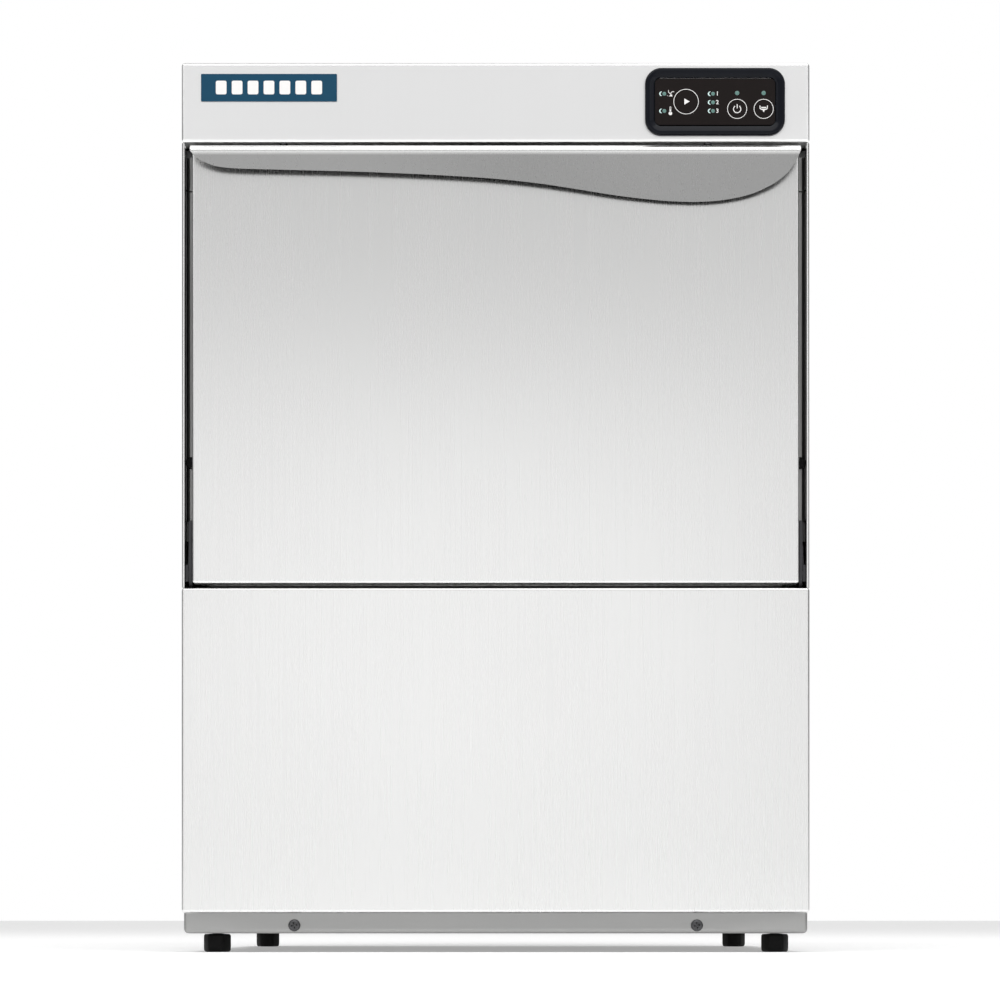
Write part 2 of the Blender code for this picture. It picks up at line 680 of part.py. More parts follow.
def make_tank_fittings():
    """The heating element in the tank, the flat filter over it and the sump filter's basket."""
    start, end = HEATER_LEGS_Y
    middle, reach = (start + end) / 2, (end - start) / 2
    bend = [(HEATER_TURN_X - reach * math.cos(a), middle + reach * math.sin(a), HEATER_Z)
            for a in (math.radians(-90 + 22.5 * k) for k in range(9))]
    path = [(HEATER_END_X, start, HEATER_Z), *bend, (HEATER_END_X, end, HEATER_Z)]
    tube("tank_heater", path, HEATER_RADIUS, SPRING_STEEL)

    z = LEDGE_Z + GAP + FILTER_THICKNESS / 2
    half, front_y, back_y, _ = TANK_STAGES[1]
    half, low_y, high_y = half - FILTER_MARGIN, front_y + FILTER_MARGIN, back_y - FILTER_MARGIN
    outline = [(-half, low_y), (half, low_y), (half, high_y), (-half, high_y)]
    holes = [circle(0, 0, 0.0180), circle(0, SUCTION_Y, 0.0500)]
    plate("tank_filter", [outline, *holes], FILTER_THICKNESS, "up", (0, 0, z), SATIN)

    top = z + FILTER_THICKNESS / 2 + GAP
    profile = [(0.0580, 0.0012), (0.0580, 0), (0.0480, 0), (0.0480, -0.0820), (0.0200, -0.0880), (0, -0.0880),
               (0, -0.0868), (0.0196, -0.0868), (0.0468, -0.0810), (0.0468, 0.0012), (0.0580, 0.0012)]
    turned("sump_filter", profile, (0, SUCTION_Y, top), Z, SATIN, sides=20)


RAIL_TOP = 0.4030
RAIL_SHEET = 0.0015
RAIL_WIDTH, RAIL_HEIGHT = 0.0260, 0.0265
RAIL_FRONT_Y, RAIL_BACK_Y = -0.2400, 0.2380


def make_rack_rail(side, sign):
    """An angle along the chamber wall that carries the dish rack."""
    wall = sign * (CHAMBER_HALF - GAP)
    low_z = RAIL_TOP - RAIL_SHEET
    inner, outer = sorted((wall, wall - sign * RAIL_SHEET))
    rail = box(
        "rack_rail_" + side, (inner, RAIL_FRONT_Y, low_z), (outer, RAIL_BACK_Y, low_z + RAIL_HEIGHT), SATIN
    )
    inner, outer = sorted((wall, wall - sign * RAIL_WIDTH))
    join(rail, box("rail_shelf_" + side, (inner, RAIL_FRONT_Y, low_z), (outer, RAIL_BACK_Y, RAIL_TOP)))


# ---------------------------------------------------------------- spray arms
ARM_REACH = 0.232
ARM_ROOT_X = 0.018  # half the length of the straight part at the hub
UP, DOWN = 1, -1
NOZZLES = (0.090, 0.205)
ARMS = {
    # blades: half width at root, half width at tip, thickness. hub: radius, bore, height
    "wash": {"rise": 0.0180, "blades": (0.0190, 0.0120, 0.0140), "hub": (0.0200, 0.0115, 0.0180)},
    "rinse": {"rise": 0.0335, "blades": (0.0110, 0.0060, 0.0080), "hub": (0.0140, 0.0080, 0.0090)},
}
NUT_RISE = 0.0388


def arm_outline(reach, root, tip):
    """Two blades that taper from the hub to round ends."""
    points = []
    for end in (1, -1):
        for k in range(5):
            angle = math.radians(-90 + 45 * k)
            points.append((end * (reach - tip + tip * math.cos(angle)), end * tip * math.sin(angle)))
        points.append((end * ARM_ROOT_X, end * root))
        points.append((-end * ARM_ROOT_X, end * root))
    return points


def make_arm(prefix, kind, base_z, way):
    """A spray arm: two hollow blades with nozzle holes, on a bored hub that turns on the post."""
    arm = ARMS[kind]
    name = f"{prefix}_{kind}_arm"
    z = base_z + way * arm["rise"]
    root, tip, thickness = arm["blades"]
    hub_radius, bore, hub_height = arm["hub"]
    axis = joint_empty(f"{prefix}_{kind}_axis", (0, 0, z))
    blades = plate(name, [arm_outline(ARM_REACH, root, tip)], thickness, "up", (0, 0, z), SATIN, axis)
    bottom = z - hub_height / 2
    join(blades, cylinder(name + "_hub", (0, 0, bottom), Z, hub_height, hub_radius, sides=16))
    hollow = arm_outline(ARM_REACH - SHEET, root - SHEET, tip - SHEET)
    cut(blades, plate(name + "_channel", [hollow], thickness - 2 * SHEET, "up", (0, 0, z)))
    start = (0, 0, bottom - OVERCUT)
    cut(blades, cylinder(name + "_bore", start, Z, hub_height + 2 * OVERCUT, bore, sides=16))
    for number, reach in enumerate(NOZZLES):
        for end in (1, -1):
            start = (end * reach, end * tip * 0.21, z + way * thickness / 4)
            nozzle = cylinder(f"{name}_nozzle_{number}_{end}", start, Z * way, thickness, tip * 0.28, sides=6)
            cut(blades, nozzle)


def make_arm_set(prefix, base_z, way, post_profile):
    """Post, wash arm, rinse arm and retaining nut, stacked along Z in the given way."""
    turned(prefix + "_arm_post", post_profile, (0, 0, base_z), Z * way, GREY_PLASTIC, sides=16)
    for kind in ARMS:
        make_arm(prefix, kind, base_z, way)
    nut_profile = [(0, 0.0060), (0.0120, 0.0060), (0.0130, 0.0050), (0.0130, 0), (0.0048, 0),
                   (0.0048, 0.0040), (0, 0.0040)]
    turned(prefix + "_arm_nut", nut_profile, (0, 0, base_z + way * NUT_RISE), Z * way, GREY_PLASTIC, sides=16)


LOWER_ARM_Z = 0.3540
UPPER_ARM_Z = CHAMBER_TOP - GAP


def make_arms():
    """The post steps down: wash arm seat, rinse arm seat, then the stud that the nut screws on."""
    steps = [(0.0042, 0.0425), (0.0042, 0.0385), (0.0076, 0.0385), (0.0076, 0.0275), (0.0110, 0.0275),
             (0.0110, 0.0085), (0.0165, 0.0085)]
    floor = SUMP_Z + GAP - LOWER_ARM_Z
    lower = [(0, 0.0425), *steps, (0.0165, floor + 0.004), (0.0240, floor + 0.004), (0.0240, floor),
             (0, floor)]
    make_arm_set("lower", LOWER_ARM_Z, UP, lower)
    upper = [(0, 0.0425), *steps, (0.0165, 0.004), (0.0260, 0.004), (0.0260, 0), (0.0108, 0),
             (0.0108, -0.0120), (0, -0.0120)]
    make_arm_set("upper", UPPER_ARM_Z, DOWN, upper)


# ---------------------------------------------------------------- pump and pipes
PUMP_X = -0.068
PUMP_Y = SUCTION_Y
SPOUT_OFFSET = 0.036  # each spout leaves the volute this far off the pump's axis
SPOUT_LENGTH = 0.080
FEED_Y = PUMP_Y - SPOUT_OFFSET
RETURN_Z = PUMP_Z - SPOUT_OFFSET
RISER_Y = 0.2725
VOLUTE_HALF = 0.022
VOLUTE_RADIUS, CAVITY_RADIUS = 0.062, 0.052
VOLUTE_WALL = 0.006
SHAFT_RADIUS, SHAFT_HOLE = 0.0064, 0.0072
MOTOR_LENGTH, MOTOR_RADIUS = 0.1245, 0.046
MOTOR_END_X = PUMP_X - VOLUTE_HALF - PLAY
IMPELLER_RADIUS = 0.044
VANES = 6


def on_axle(x):
    """A point on the pump's axis."""
    return (x, PUMP_Y, PUMP_Z)


def make_pump():
    make_volute()
    make_motor()
    make_impeller()
    make_pipes()


def make_volute():
    low_x, high_x = PUMP_X - VOLUTE_HALF, PUMP_X + VOLUTE_HALF
    volute = cylinder("wash_pump_volute", on_axle(low_x), X, 2 * VOLUTE_HALF, VOLUTE_RADIUS, GREY_PLASTIC)
    feed, back = (PUMP_X, FEED_Y, PUMP_Z), (PUMP_X, PUMP_Y, RETURN_Z)
    join(volute, cylinder("feed_spout", feed, Z, SPOUT_LENGTH, 0.0150, sides=16))
    join(volute, cylinder("riser_spout", back, Y, SPOUT_LENGTH, 0.0140, sides=16))
    inside = 2 * (VOLUTE_HALF - VOLUTE_WALL)
    cut(volute, cylinder("pump_cavity", on_axle(low_x + VOLUTE_WALL), X, inside, CAVITY_RADIUS))
    cut(volute, cylinder("feed_bore", feed, Z, SPOUT_LENGTH + OVERCUT, 0.0115, sides=16))
    cut(volute, cylinder("riser_bore", back, Y, SPOUT_LENGTH + OVERCUT, 0.0105, sides=16))
    depth = VOLUTE_WALL + 2 * OVERCUT
    cut(volute, cylinder("pump_inlet", on_axle(high_x - VOLUTE_WALL - OVERCUT), X, depth, 0.0180))
    cut(volute, cylinder("shaft_hole", on_axle(low_x - OVERCUT), X, depth, SHAFT_HOLE, sides=16))


def make_motor():
    """The motor with its terminal box on top, a foot on the base tray and a bore for the shaft."""
    start = on_axle(MOTOR_END_X - MOTOR_LENGTH)
    motor = cylinder("wash_pump_motor", start, X, MOTOR_LENGTH, MOTOR_RADIUS, MOTOR_PAINT, bevel=0.004)
    low, high = (-0.185, PUMP_Y - 0.026, PUMP_Z + 0.036), (-0.130, PUMP_Y + 0.026, PUMP_Z + 0.066)
    join(motor, box("terminal_box", low, high))
    low, high = (-0.175, PUMP_Y - 0.030, TRAY_FLOOR), (-0.145, PUMP_Y + 0.030, PUMP_Z - 0.034)
    join(motor, box("motor_foot", low, high))
    cut(motor, cylinder("motor_bore", on_axle(-0.140), X, 0.060, SHAFT_HOLE, sides=16))


def make_impeller():
    """A disc with swept vanes, on a hub and a shaft that runs into the motor."""
    axle = joint_empty("wash_pump_axis", on_axle(PUMP_X))
    impeller = cylinder("wash_pump_impeller", on_axle(-0.078), X, 0.004, IMPELLER_RADIUS, BLACK_PLASTIC, axle)
    sweep = Matrix.Rotation(math.radians(25), 4, "X")
    lift = Matrix.Translation((0, 0, IMPELLER_RADIUS / 2))
    for k in range(VANES):
        low, high = (-0.075, PUMP_Y - 0.0015, PUMP_Z - 0.019), (-0.060, PUMP_Y + 0.0015, PUMP_Z + 0.019)
        vane = box(f"vane_{k}", low, high)
        turn = Matrix.Rotation(2 * math.pi * k / VANES, 4, "X")
        vane.data.transform(turn @ lift @ sweep)
        join(impeller, vane)
    join(impeller, cylinder("impeller_hub", on_axle(-0.076), X, 0.016, 0.010, sides=16))
    join(impeller, cylinder("pump_shaft", on_axle(-0.136), X, 0.062, SHAFT_RADIUS, sides=16))


def make_pipes():
    """Sump to pump, pump to the lower arms, and pump up the back and over to the upper arms."""
    sump = SUMP_Z - SHEET - GAP
    end_x = PUMP_X + VOLUTE_HALF + PLAY
    down = rounded_path([(0, SUCTION_Y, sump), (0, SUCTION_Y, PUMP_Z), on_axle(end_x)], 0.026)
    tube("suction_elbow", down, 0.0170, RUBBER)
    rise = PUMP_Z + SPOUT_LENGTH + GAP
    turn_z = sump - 0.0225
    feed = [(PUMP_X, FEED_Y, rise), (PUMP_X, FEED_Y, turn_z), (0, 0, turn_z), (0, 0, sump)]
    tube("feed_pipe", rounded_path(feed, 0.010), 0.0115, RUBBER)
    over = CHAMBER_TOP + 0.0270
    riser = [(PUMP_X, PUMP_Y + SPOUT_LENGTH + GAP, RETURN_Z), (PUMP_X, RISER_Y, RETURN_Z),
             (PUMP_X, RISER_Y, over), (0, 0, over), (0, 0, CHAMBER_TOP + 0.0120)]
    tube("riser_pipe", rounded_path(riser, 0.014), 0.0095, SATIN)


# ---------------------------------------------------------------- heating, dosing and connections
BOILER_X, BOILER_Y = 0.170, -0.130
INLET_X, INLET_Z = 0.200, 0.105
DRAIN_X, DRAIN_Z = 0.120, 0.070
GLAND_X, GLAND_Z = -0.220, 0.100
FLANGE_RADIUS, FLANGE_THICKNESS = 0.034, 0.005


def make_boiler():
    """The rinse boiler's shell, and its heater on a brass flange that closes the bottom."""
    floor = TRAY_FLOOR + FLANGE_THICKNESS + GAP
    shell = [(0, 0.195), (0.050, 0.187), (0.070, 0.165), (0.070, 0.022), (0.050, 0), (0.026, 0),
             (0.026, 0.002), (0.0492, 0.002), (0.068, 0.0228), (0.068, 0.1642), (0.0491, 0.1851), (0, 0.193)]
    turned("boiler", shell, (BOILER_X, BOILER_Y, floor), Z, SATIN, sides=20)

    start = (BOILER_X, BOILER_Y, TRAY_FLOOR)
    heater = cylinder("boiler_heater", start, Z, FLANGE_THICKNESS, FLANGE_RADIUS, BRASS)
    leg, arch_z, root = 0.014, 0.150, TRAY_FLOOR + FLANGE_THICKNESS / 2
    arch = [(BOILER_X - leg * math.cos(a), BOILER_Y, arch_z + leg * math.sin(a))
            for a in (math.radians(30 * k) for k in range(7))]
    loop = [(BOILER_X - leg, BOILER_Y, root), *arch, (BOILER_X + leg, BOILER_Y, root)]
    join(heater, tube("boiler_element", loop, 0.004))


def make_dosing():
    """The drain pump and the rinse-aid dispenser on the base tray."""
    x, y = -0.150, -0.060
    pump = cylinder("drain_pump", (x, y, TRAY_FLOOR), Z, 0.070, 0.032, MOTOR_PAINT, bevel=0.003)
    join(pump, cylinder("drain_volute", (x, y, TRAY_FLOOR + 0.066), Z, 0.026, 0.040))
    join(pump, cylinder("drain_spout", (x, y, TRAY_FLOOR + 0.079), -Y, 0.062, 0.009, sides=16))

    low, high = (-0.230, -0.235, TRAY_FLOOR), (-0.150, -0.175, TRAY_FLOOR + 0.085)
    doser = box("rinse_aid_dispenser", low, high, BLACK_PLASTIC, bevel=0.004)
    for number, x in enumerate((-0.205, -0.175)):
        join(doser, cylinder(f"doser_barb_{number}", (x, -0.205, high[2] - 0.005), Z, 0.020, 0.004, sides=12))


def make_connections():
    """The water inlet valve, the drain's hose tail and the cable gland, through the back panel."""
    end = BACK_Y + REACH
    thread = [(0.0100, 0), (0.0132, 0), (0.0132, -0.0168), (0.0200, -0.0168), (0.0200, -0.0500), (0, -0.0500),
              (0, -0.0150), (0.0100, -0.0150), (0.0100, 0)]
    valve = turned("water_inlet_valve", thread, (INLET_X, end, INLET_Z), Y, GREY_PLASTIC, sides=20)
    coil_low = (INLET_X - 0.014, end - 0.048, INLET_Z + 0.012)
    join(valve, box("valve_coil", coil_low, (INLET_X + 0.014, end - 0.020, INLET_Z + 0.050)))

    spigot = [(0.0090, 0), (0.0118, 0), (0.0132, -0.0050), (0.0118, -0.0050), (0.0132, -0.0100),
              (0.0118, -0.0100), (0.0118, -0.0168), (0.0190, -0.0168), (0.0190, -0.0200), (0.0125, -0.0200),
              (0.0125, -0.0500), (0.0090, -0.0500), (0.0090, 0)]
    turned("drain_outlet", spigot, (DRAIN_X, end, DRAIN_Z), Y, GREY_PLASTIC, sides=20)

    gland = [(0.0055, 0), (0.0080, 0), (0.0100, -0.0020), (0.0100, -0.0050), (0.0150, -0.0050),
             (0.0150, -0.0147), (0.0115, -0.0147), (0.0115, -0.0300), (0.0055, -0.0300), (0.0055, 0)]
    turned("cable_gland", gland, (GLAND_X, end, GLAND_Z), Y, BLACK_PLASTIC, sides=16)


# ---------------------------------------------------------------- door
def make_door():
    hinge = joint_empty("door_hinge", (0, HINGE_Y, HINGE_Z))
    top = DOOR_TOP - SHEET - GAP
    inset = SHEET + GAP
    low, high = (-DOOR_HALF, FRONT_Y, DOOR_BOTTOM), (DOOR_HALF, DOOR_BACK_Y - inset, top)
    sheet_box("door_outer_skin", low, high, (Y,), BRUSHED, hinge, bend=0.0025)
    low = (-DOOR_HALF + inset, DOOR_BACK_Y - 0.010, DOOR_BOTTOM + inset)
    high = (DOOR_HALF - inset, DOOR_BACK_Y, top - inset)
    inner = sheet_box("door_inner_skin", low, high, (-Y,), SATIN, hinge, bend=0.0025)
    press_field(inner, 0.0385, 0.0040)
    make_gasket(hinge)
    make_handle(hinge)
    for side, sign in SIDES:
        make_hinge(side, sign, hinge)


def press_field(made, margin, depth):
    """Presses the middle of the widest face outwards."""
    bm = bmesh.new()
    bm.from_mesh(made.data)
    bm.normal_update()
    widest = max(bm.faces, key=lambda face: face.calc_area())
    bmesh.ops.inset_individual(bm, faces=[widest], thickness=margin)
    bmesh.ops.inset_individual(bm, faces=[widest], thickness=0.0030, depth=depth)
    bm.to_mesh(made.data)
    bm.free()


GASKET_WIDTH = 0.009
GASKET_HALF = 0.275
GASKET_BOTTOM, GASKET_TOP = 0.3690, 0.7590


def make_gasket(hinge):
    """A seal round the mouth, that lies between the door and the front frame."""
    depth = FRAME_Y - GAP - (DOOR_BACK_Y + GAP)
    width, height = 2 * GASKET_HALF, GASKET_TOP - GASKET_BOTTOM
    outer = rounded_rectangle(width, height, 0.018)
    inner = rounded_rectangle(width - 2 * GASKET_WIDTH, height - 2 * GASKET_WIDTH, 0.010)
    place = (0, DOOR_BACK_Y + GAP + depth / 2, (GASKET_BOTTOM + GASKET_TOP) / 2)
    plate("door_gasket", [outer, inner], depth, "front", place, RUBBER, hinge)


HANDLE_BEND = 0.0080
HANDLE_HALF = 0.2900
HANDLE_SLOPE = math.radians(11)  # the face leans back towards the door
HANDLE_FALL = 0.0500
HANDLE_EDGE = [  # the free lower edge of the lip, from the left end to the right end
    (-0.2900, 0.7615), (-0.2840, 0.7550), (-0.2755, 0.7507), (-0.2660, 0.7476), (-0.2520, 0.7458),
    (-0.1855, 0.7440), (-0.0900, 0.7413), (-0.0004, 0.7363), (0.0804, 0.7257), (0.1375, 0.7178),
    (0.1850, 0.7147), (0.2325, 0.7191), (0.2640, 0.7309), (0.2824, 0.7471), (0.2900, 0.7615),
]


def make_handle(hinge):
    """A lip of bent sheet along the door's top: a flat flange, a round bend and a sloping face."""
    front = FRONT_Y - REACH
    centre = (front + HANDLE_BEND, DOOR_TOP - HANDLE_BEND)
    section = [(DOOR_BACK_Y - 0.004, DOOR_TOP), (centre[0], DOOR_TOP)]
    turn = math.pi / 2 + HANDLE_SLOPE
    for k in range(1, 6):
        angle = math.pi / 2 + turn * k / 5
        section.append((centre[0] + HANDLE_BEND * math.cos(angle), centre[1] + HANDLE_BEND * math.sin(angle)))
    y, z = section[-1]
    section.append((y + HANDLE_FALL * math.sin(HANDLE_SLOPE), z - HANDLE_FALL * math.cos(HANDLE_SLOPE)))
    anchor = hinge.location
    bm = bmesh.new()
    rails = []
    for x in (-HANDLE_HALF, HANDLE_HALF):
        rails.append([bm.verts.new(Vector((x, y, z)) - anchor) for y, z in section])
    for k in range(len(section) - 1):
        bm.faces.new((rails[0][k], rails[1][k], rails[1][k + 1], rails[0][k + 1]))
    handle = finish("door_handle", bm, BRUSHED, anchor, hinge)
    face_out(handle, rank=lambda face: face.calc_center_median().z, way=Z)
    solidify(handle, SHEET)

    end_x, end_z, low_z = HALF, HANDLE_EDGE[0][1], 0.690
    wave = [(-end_x, end_z), *curve_through(HANDLE_EDGE, 4), (end_x, end_z), (end_x, low_z), (-end_x, low_z)]
    wave = [(x, z - DOOR_TOP) for x, z in wave]
    cut(handle, plate("handle_cut", [wave], 0.040, "front", (0, FRONT_Y - 0.021, DOOR_TOP)))


PIN_RADIUS = 0.0040
ARM_INNER, ARM_OUTER = 0.2904, 0.2932
BRACKET_INNER, BRACKET_OUTER = 0.2938, 0.2966
HOOK = (0.020, -0.035)  # spring hook, behind and below the hinge axis
HOOK_HOLE = 0.0022


def make_hinge(side, sign, hinge):
    """The door's lever with its spring hook, and the cabinet's bracket with its riveted pin."""
    lever = [(-0.0060, 0.0500), (-0.0060, -0.0060), (0.0020, -0.0160), (0.0140, -0.0420), (0.0260, -0.0420),
             (0.0270, -0.0340), (0.0150, -0.0080), (0.0120, 0.0060), (0.0120, 0.0500)]
    holes = [circle(0, 0, PIN_RADIUS + PLAY), circle(*HOOK, HOOK_HOLE, sides=12)]
    place = (sign * (ARM_INNER + ARM_OUTER) / 2, HINGE_Y, HINGE_Z)
    plate("hinge_arm_" + side, [lever, *holes], ARM_OUTER - ARM_INNER, "side", place, ZINC, hinge)

    strap = [(-0.0040, 0.0080), (-0.0040, -0.0080), (0.0300, -0.0080), (0.0300, 0.0300), (0.0200, 0.0300),
             (0.0120, 0.0080)]
    place = (sign * (BRACKET_INNER + BRACKET_OUTER) / 2, HINGE_Y, HINGE_Z)
    bracket = plate("hinge_bracket_" + side, [strap], BRACKET_OUTER - BRACKET_INNER, "side", place, ZINC)
    start = (sign * (DOOR_HALF + GAP), HINGE_Y, HINGE_Z)
    length = BRACKET_INNER - DOOR_HALF + PLAY
    join(bracket, cylinder("hinge_pin_" + side, start, X * sign, length, PIN_RADIUS, sides=16))
    make_spring(side, sign)


SPRING_BOTTOM = 0.0600
SPRING_INSET = 0.0090  # from the casing's side to the spring's middle
COIL_BOTTOM, COIL_TOP = 0.1100, 0.2900
COIL_RADIUS, WIRE_RADIUS = 0.0065, 0.0011


def make_spring(side, sign):
    """A tension spring from near the base up to the lever's hook: a plain barrel with two rods."""
    x = sign * (HALF - SPRING_INSET)
    y = HINGE_Y + HOOK[0]
    hook_z = HINGE_Z + HOOK[1]
    length = COIL_TOP - COIL_BOTTOM
    start = (x, y, COIL_BOTTOM)
    spring = cylinder("door_spring_" + side, start, Z, length, COIL_RADIUS, SPRING_STEEL, sides=16)
    hook_x = sign * (ARM_INNER - WIRE_RADIUS - PLAY)
    path = [(x, y, SPRING_BOTTOM), (x, y, COIL_TOP + 0.004), (hook_x, y, COIL_TOP + 0.012),
            (hook_x, y, hook_z - GAP), (sign * (ARM_OUTER + GAP), y, hook_z)]
    join(spring, tube("spring_rod_" + side, path, WIRE_RADIUS, resolution=1))


# ---------------------------------------------------------------- build
make_base()
for side_name, side_sign in SIDES:
    make_side_panel(side_name, side_sign)
    make_panel_screw(side_name, side_sign)
    make_rack_rail(side_name, side_sign)
make_back_panel()
make_top_cover()
make_lower_panel()
make_fascia()
make_controls()
make_light_guide()
make_board()
make_nameplate()
make_chamber()
make_tank()
make_tank_fittings()
make_arms()
make_pump()
make_boiler()
make_dosing()
make_connections()
make_door()
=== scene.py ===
"""Looks for the under-counter commercial dishwasher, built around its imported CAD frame."""

import math

import bmesh
import bpy
from mathutils import Matrix, Vector


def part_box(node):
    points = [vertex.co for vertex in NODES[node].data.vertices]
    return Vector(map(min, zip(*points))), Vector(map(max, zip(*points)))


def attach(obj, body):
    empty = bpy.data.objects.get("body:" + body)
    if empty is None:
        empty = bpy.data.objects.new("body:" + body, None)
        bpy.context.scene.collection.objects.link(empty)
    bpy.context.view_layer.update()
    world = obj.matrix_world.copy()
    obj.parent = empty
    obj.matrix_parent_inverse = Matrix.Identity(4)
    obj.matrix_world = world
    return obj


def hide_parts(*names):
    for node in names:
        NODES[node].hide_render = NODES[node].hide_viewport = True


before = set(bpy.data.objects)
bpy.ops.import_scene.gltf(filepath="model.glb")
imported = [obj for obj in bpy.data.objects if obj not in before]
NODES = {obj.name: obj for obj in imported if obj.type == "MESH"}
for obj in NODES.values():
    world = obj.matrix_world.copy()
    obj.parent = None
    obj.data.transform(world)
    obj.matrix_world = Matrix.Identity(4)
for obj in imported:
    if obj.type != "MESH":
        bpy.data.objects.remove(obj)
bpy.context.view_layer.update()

SIDES = (("left", -1), ("right", 1))
X, Y, Z = Vector((1, 0, 0)), Vector((0, 1, 0)), Vector((0, 0, 1))
MM = 0.001
MERGE_WITHIN = 1e-7  # metres


# ---------------------------------------------------------------- materials
MIX_A, MIX_B, MIX_RESULT = 6, 7, 2  # the Mix node's colour sockets


class Surface:
    """A Principled material whose colour, roughness and relief come from object-space noise."""

    def __init__(self, name, colour, roughness, metallic=0.0, **settings):
        self.material = bpy.data.materials.new(name)
        self.material.use_nodes = True
        self.tree = self.material.node_tree
        self.shader = self.tree.nodes["Principled BSDF"]
        self.colour = colour
        self.roughness = roughness
        self.shader.inputs["Base Color"].default_value = (*colour, 1)
        self.shader.inputs["Roughness"].default_value = roughness
        self.shader.inputs["Metallic"].default_value = metallic
        for socket, value in settings.items():
            self.shader.inputs[socket.replace("_", " ")].default_value = value
        self.place = self.tree.nodes.new("ShaderNodeTexCoord").outputs["Object"]
        self.normal = None

    def node(self, kind, **inputs):
        made = self.tree.nodes.new(kind)
        for socket, value in inputs.items():
            self.feed(made.inputs[socket.replace("_", " ")], value)
        return made

    def feed(self, socket, value):
        """Links the socket to value if that is a socket too, or else sets it."""
        if isinstance(value, bpy.types.NodeSocket):
            self.tree.links.new(value, socket)
        else:
            socket.default_value = value

    def noise(self, scale, detail, stretch=(1, 1, 1)):
        """Noise of about scale cells a metre, stretched along an axis where stretch is under 1."""
        mapped = self.node("ShaderNodeMapping", Vector=self.place, Scale=[scale * s for s in stretch])
        made = self.node("ShaderNodeTexNoise", Vector=mapped.outputs[0], Scale=1.0, Detail=detail)
        return made.outputs["Fac"]

    def spread(self, source, low, high, start=0.3, end=0.7):
        """Goes from low to high as source goes from start to end."""
        ranged = self.node("ShaderNodeMapRange", Value=source, From_Min=start, From_Max=end)
        ranged.inputs["To Min"].default_value = low
        ranged.inputs["To Max"].default_value = high
        return ranged.outputs[0]

    def maths(self, operation, first, second):
        made = self.node("ShaderNodeMath")
        made.operation = operation
        self.feed(made.inputs[0], first)
        self.feed(made.inputs[1], second)
        return made.outputs[0]

    def blend(self, first, second, first_share, second_share):
        """The two sources added, each in its share."""
        return self.maths(
            "ADD", self.maths("MULTIPLY", first, first_share), self.maths("MULTIPLY", second, second_share)
        )

    def tint(self, source, other):
        """Mixes the base colour towards other by source."""
        mixed = self.tree.nodes.new("ShaderNodeMix")
        mixed.data_type = "RGBA"
        self.feed(mixed.inputs["Factor"], source)
        base = self.shader.inputs["Base Color"]
        if base.is_linked:
            self.feed(mixed.inputs[MIX_A], base.links[0].from_socket)
        else:
            mixed.inputs[MIX_A].default_value = (*self.colour, 1)
        mixed.inputs[MIX_B].default_value = (*other, 1)
        self.tree.links.new(mixed.outputs[MIX_RESULT], base)
        return self

    def shine(self, source, amount):
        """Lets the roughness wander by amount either way."""
        value = self.spread(source, self.roughness - amount, self.roughness + amount)
        self.feed(self.shader.inputs["Roughness"], value)
        return self

    def relief(self, source, height, strength=1.0):
        """Raises the surface by up to height metres."""
        raised = self.node("ShaderNodeBump", Height=source, Strength=strength, Distance=height)
        if self.normal is not None:
            self.feed(raised.inputs["Normal"], self.normal)
        self.normal = raised.outputs["Normal"]
        self.feed(self.shader.inputs["Normal"], self.normal)
        return self


def shade(colour, factor):
    """The colour, lighter or darker by a factor."""
    return tuple(min(1.0, c * factor) for c in colour)


def brushed_steel(name, colour, roughness, grain=Z, anisotropic=0.6, mottle=0.02, crest=None):
    """Stainless sheet ground in one direction, with faint clouds where it was handled.

    crest is (low, high, colour): a painted highlight, in which the sheet turns to that colour from the
    height low up to high.
    """
    surface = Surface(name, colour, roughness, 1.0, Anisotropic=anisotropic)
    across = [1 - 0.992 * abs(component) for component in grain]
    fine = surface.noise(1700, 2.0, across)
    broad = surface.noise(260, 3.0, across)
    streaks = surface.blend(fine, broad, 0.55, 0.45)
    clouds = surface.noise(5.5, 4.0)
    surface.tint(surface.spread(streaks, 0.0, 0.022, 0.36, 0.64), shade(colour, 0.72))
    surface.tint(surface.spread(clouds, 0.0, mottle, 0.40, 0.66), shade(colour, 0.62))
    # painted highlight: lighter colour above a height, standing in for light on a bend
    if crest:
        height = surface.node("ShaderNodeSeparateXYZ", Vector=surface.place).outputs["Z"]
        surface.tint(surface.spread(height, 0.0, 1.0, crest[0], crest[1]), crest[2])
    surface.shine(surface.blend(streaks, clouds, 0.7, 0.3), 0.02)
    surface.relief(streaks, 0.0005 * MM)
    surface.relief(surface.noise(2.6, 1.0), 0.06 * MM, 0.5)
    if anisotropic and grain == Z:
        tangent = surface.tree.nodes.new("ShaderNodeTangent")
        tangent.direction_type = "RADIAL"
        tangent.axis = "Z"
        surface.tree.links.new(tangent.outputs[0], surface.shader.inputs["Tangent"])
    return surface.material


def rolled_steel(name, colour, roughness):
    """Semi-bright cold-rolled sheet with limescale bloom."""
    surface = Surface(name, colour, roughness, 1.0)
    surface.tint(surface.spread(surface.noise(6, 3.0), 0.0, 0.08, 0.40, 0.75), shade(colour, 0.75))
    surface.shine(surface.noise(12, 3.0), 0.03)
    surface.relief(surface.noise(420, 2.0), 0.002 * MM)
    surface.relief(surface.noise(3.5, 1.0), 0.10 * MM, 0.5)
    return surface.material


def zinc_plate(name, colour, roughness):
    """Zinc coating with its crystal spangle."""
    surface = Surface(name, colour, roughness, 1.0)
    mapped = surface.node("ShaderNodeMapping", Vector=surface.place, Scale=(90, 90, 90))
    cells = surface.node("ShaderNodeTexVoronoi", Vector=mapped.outputs[0], Scale=1.0)
    surface.tint(surface.spread(cells.outputs["Color"], 0.0, 0.35, 0.2, 0.8), shade(colour, 0.74))
    surface.shine(surface.noise(60, 3.0), 0.07)
    surface.relief(surface.noise(900, 2.0), 0.004 * MM)
    return surface.material


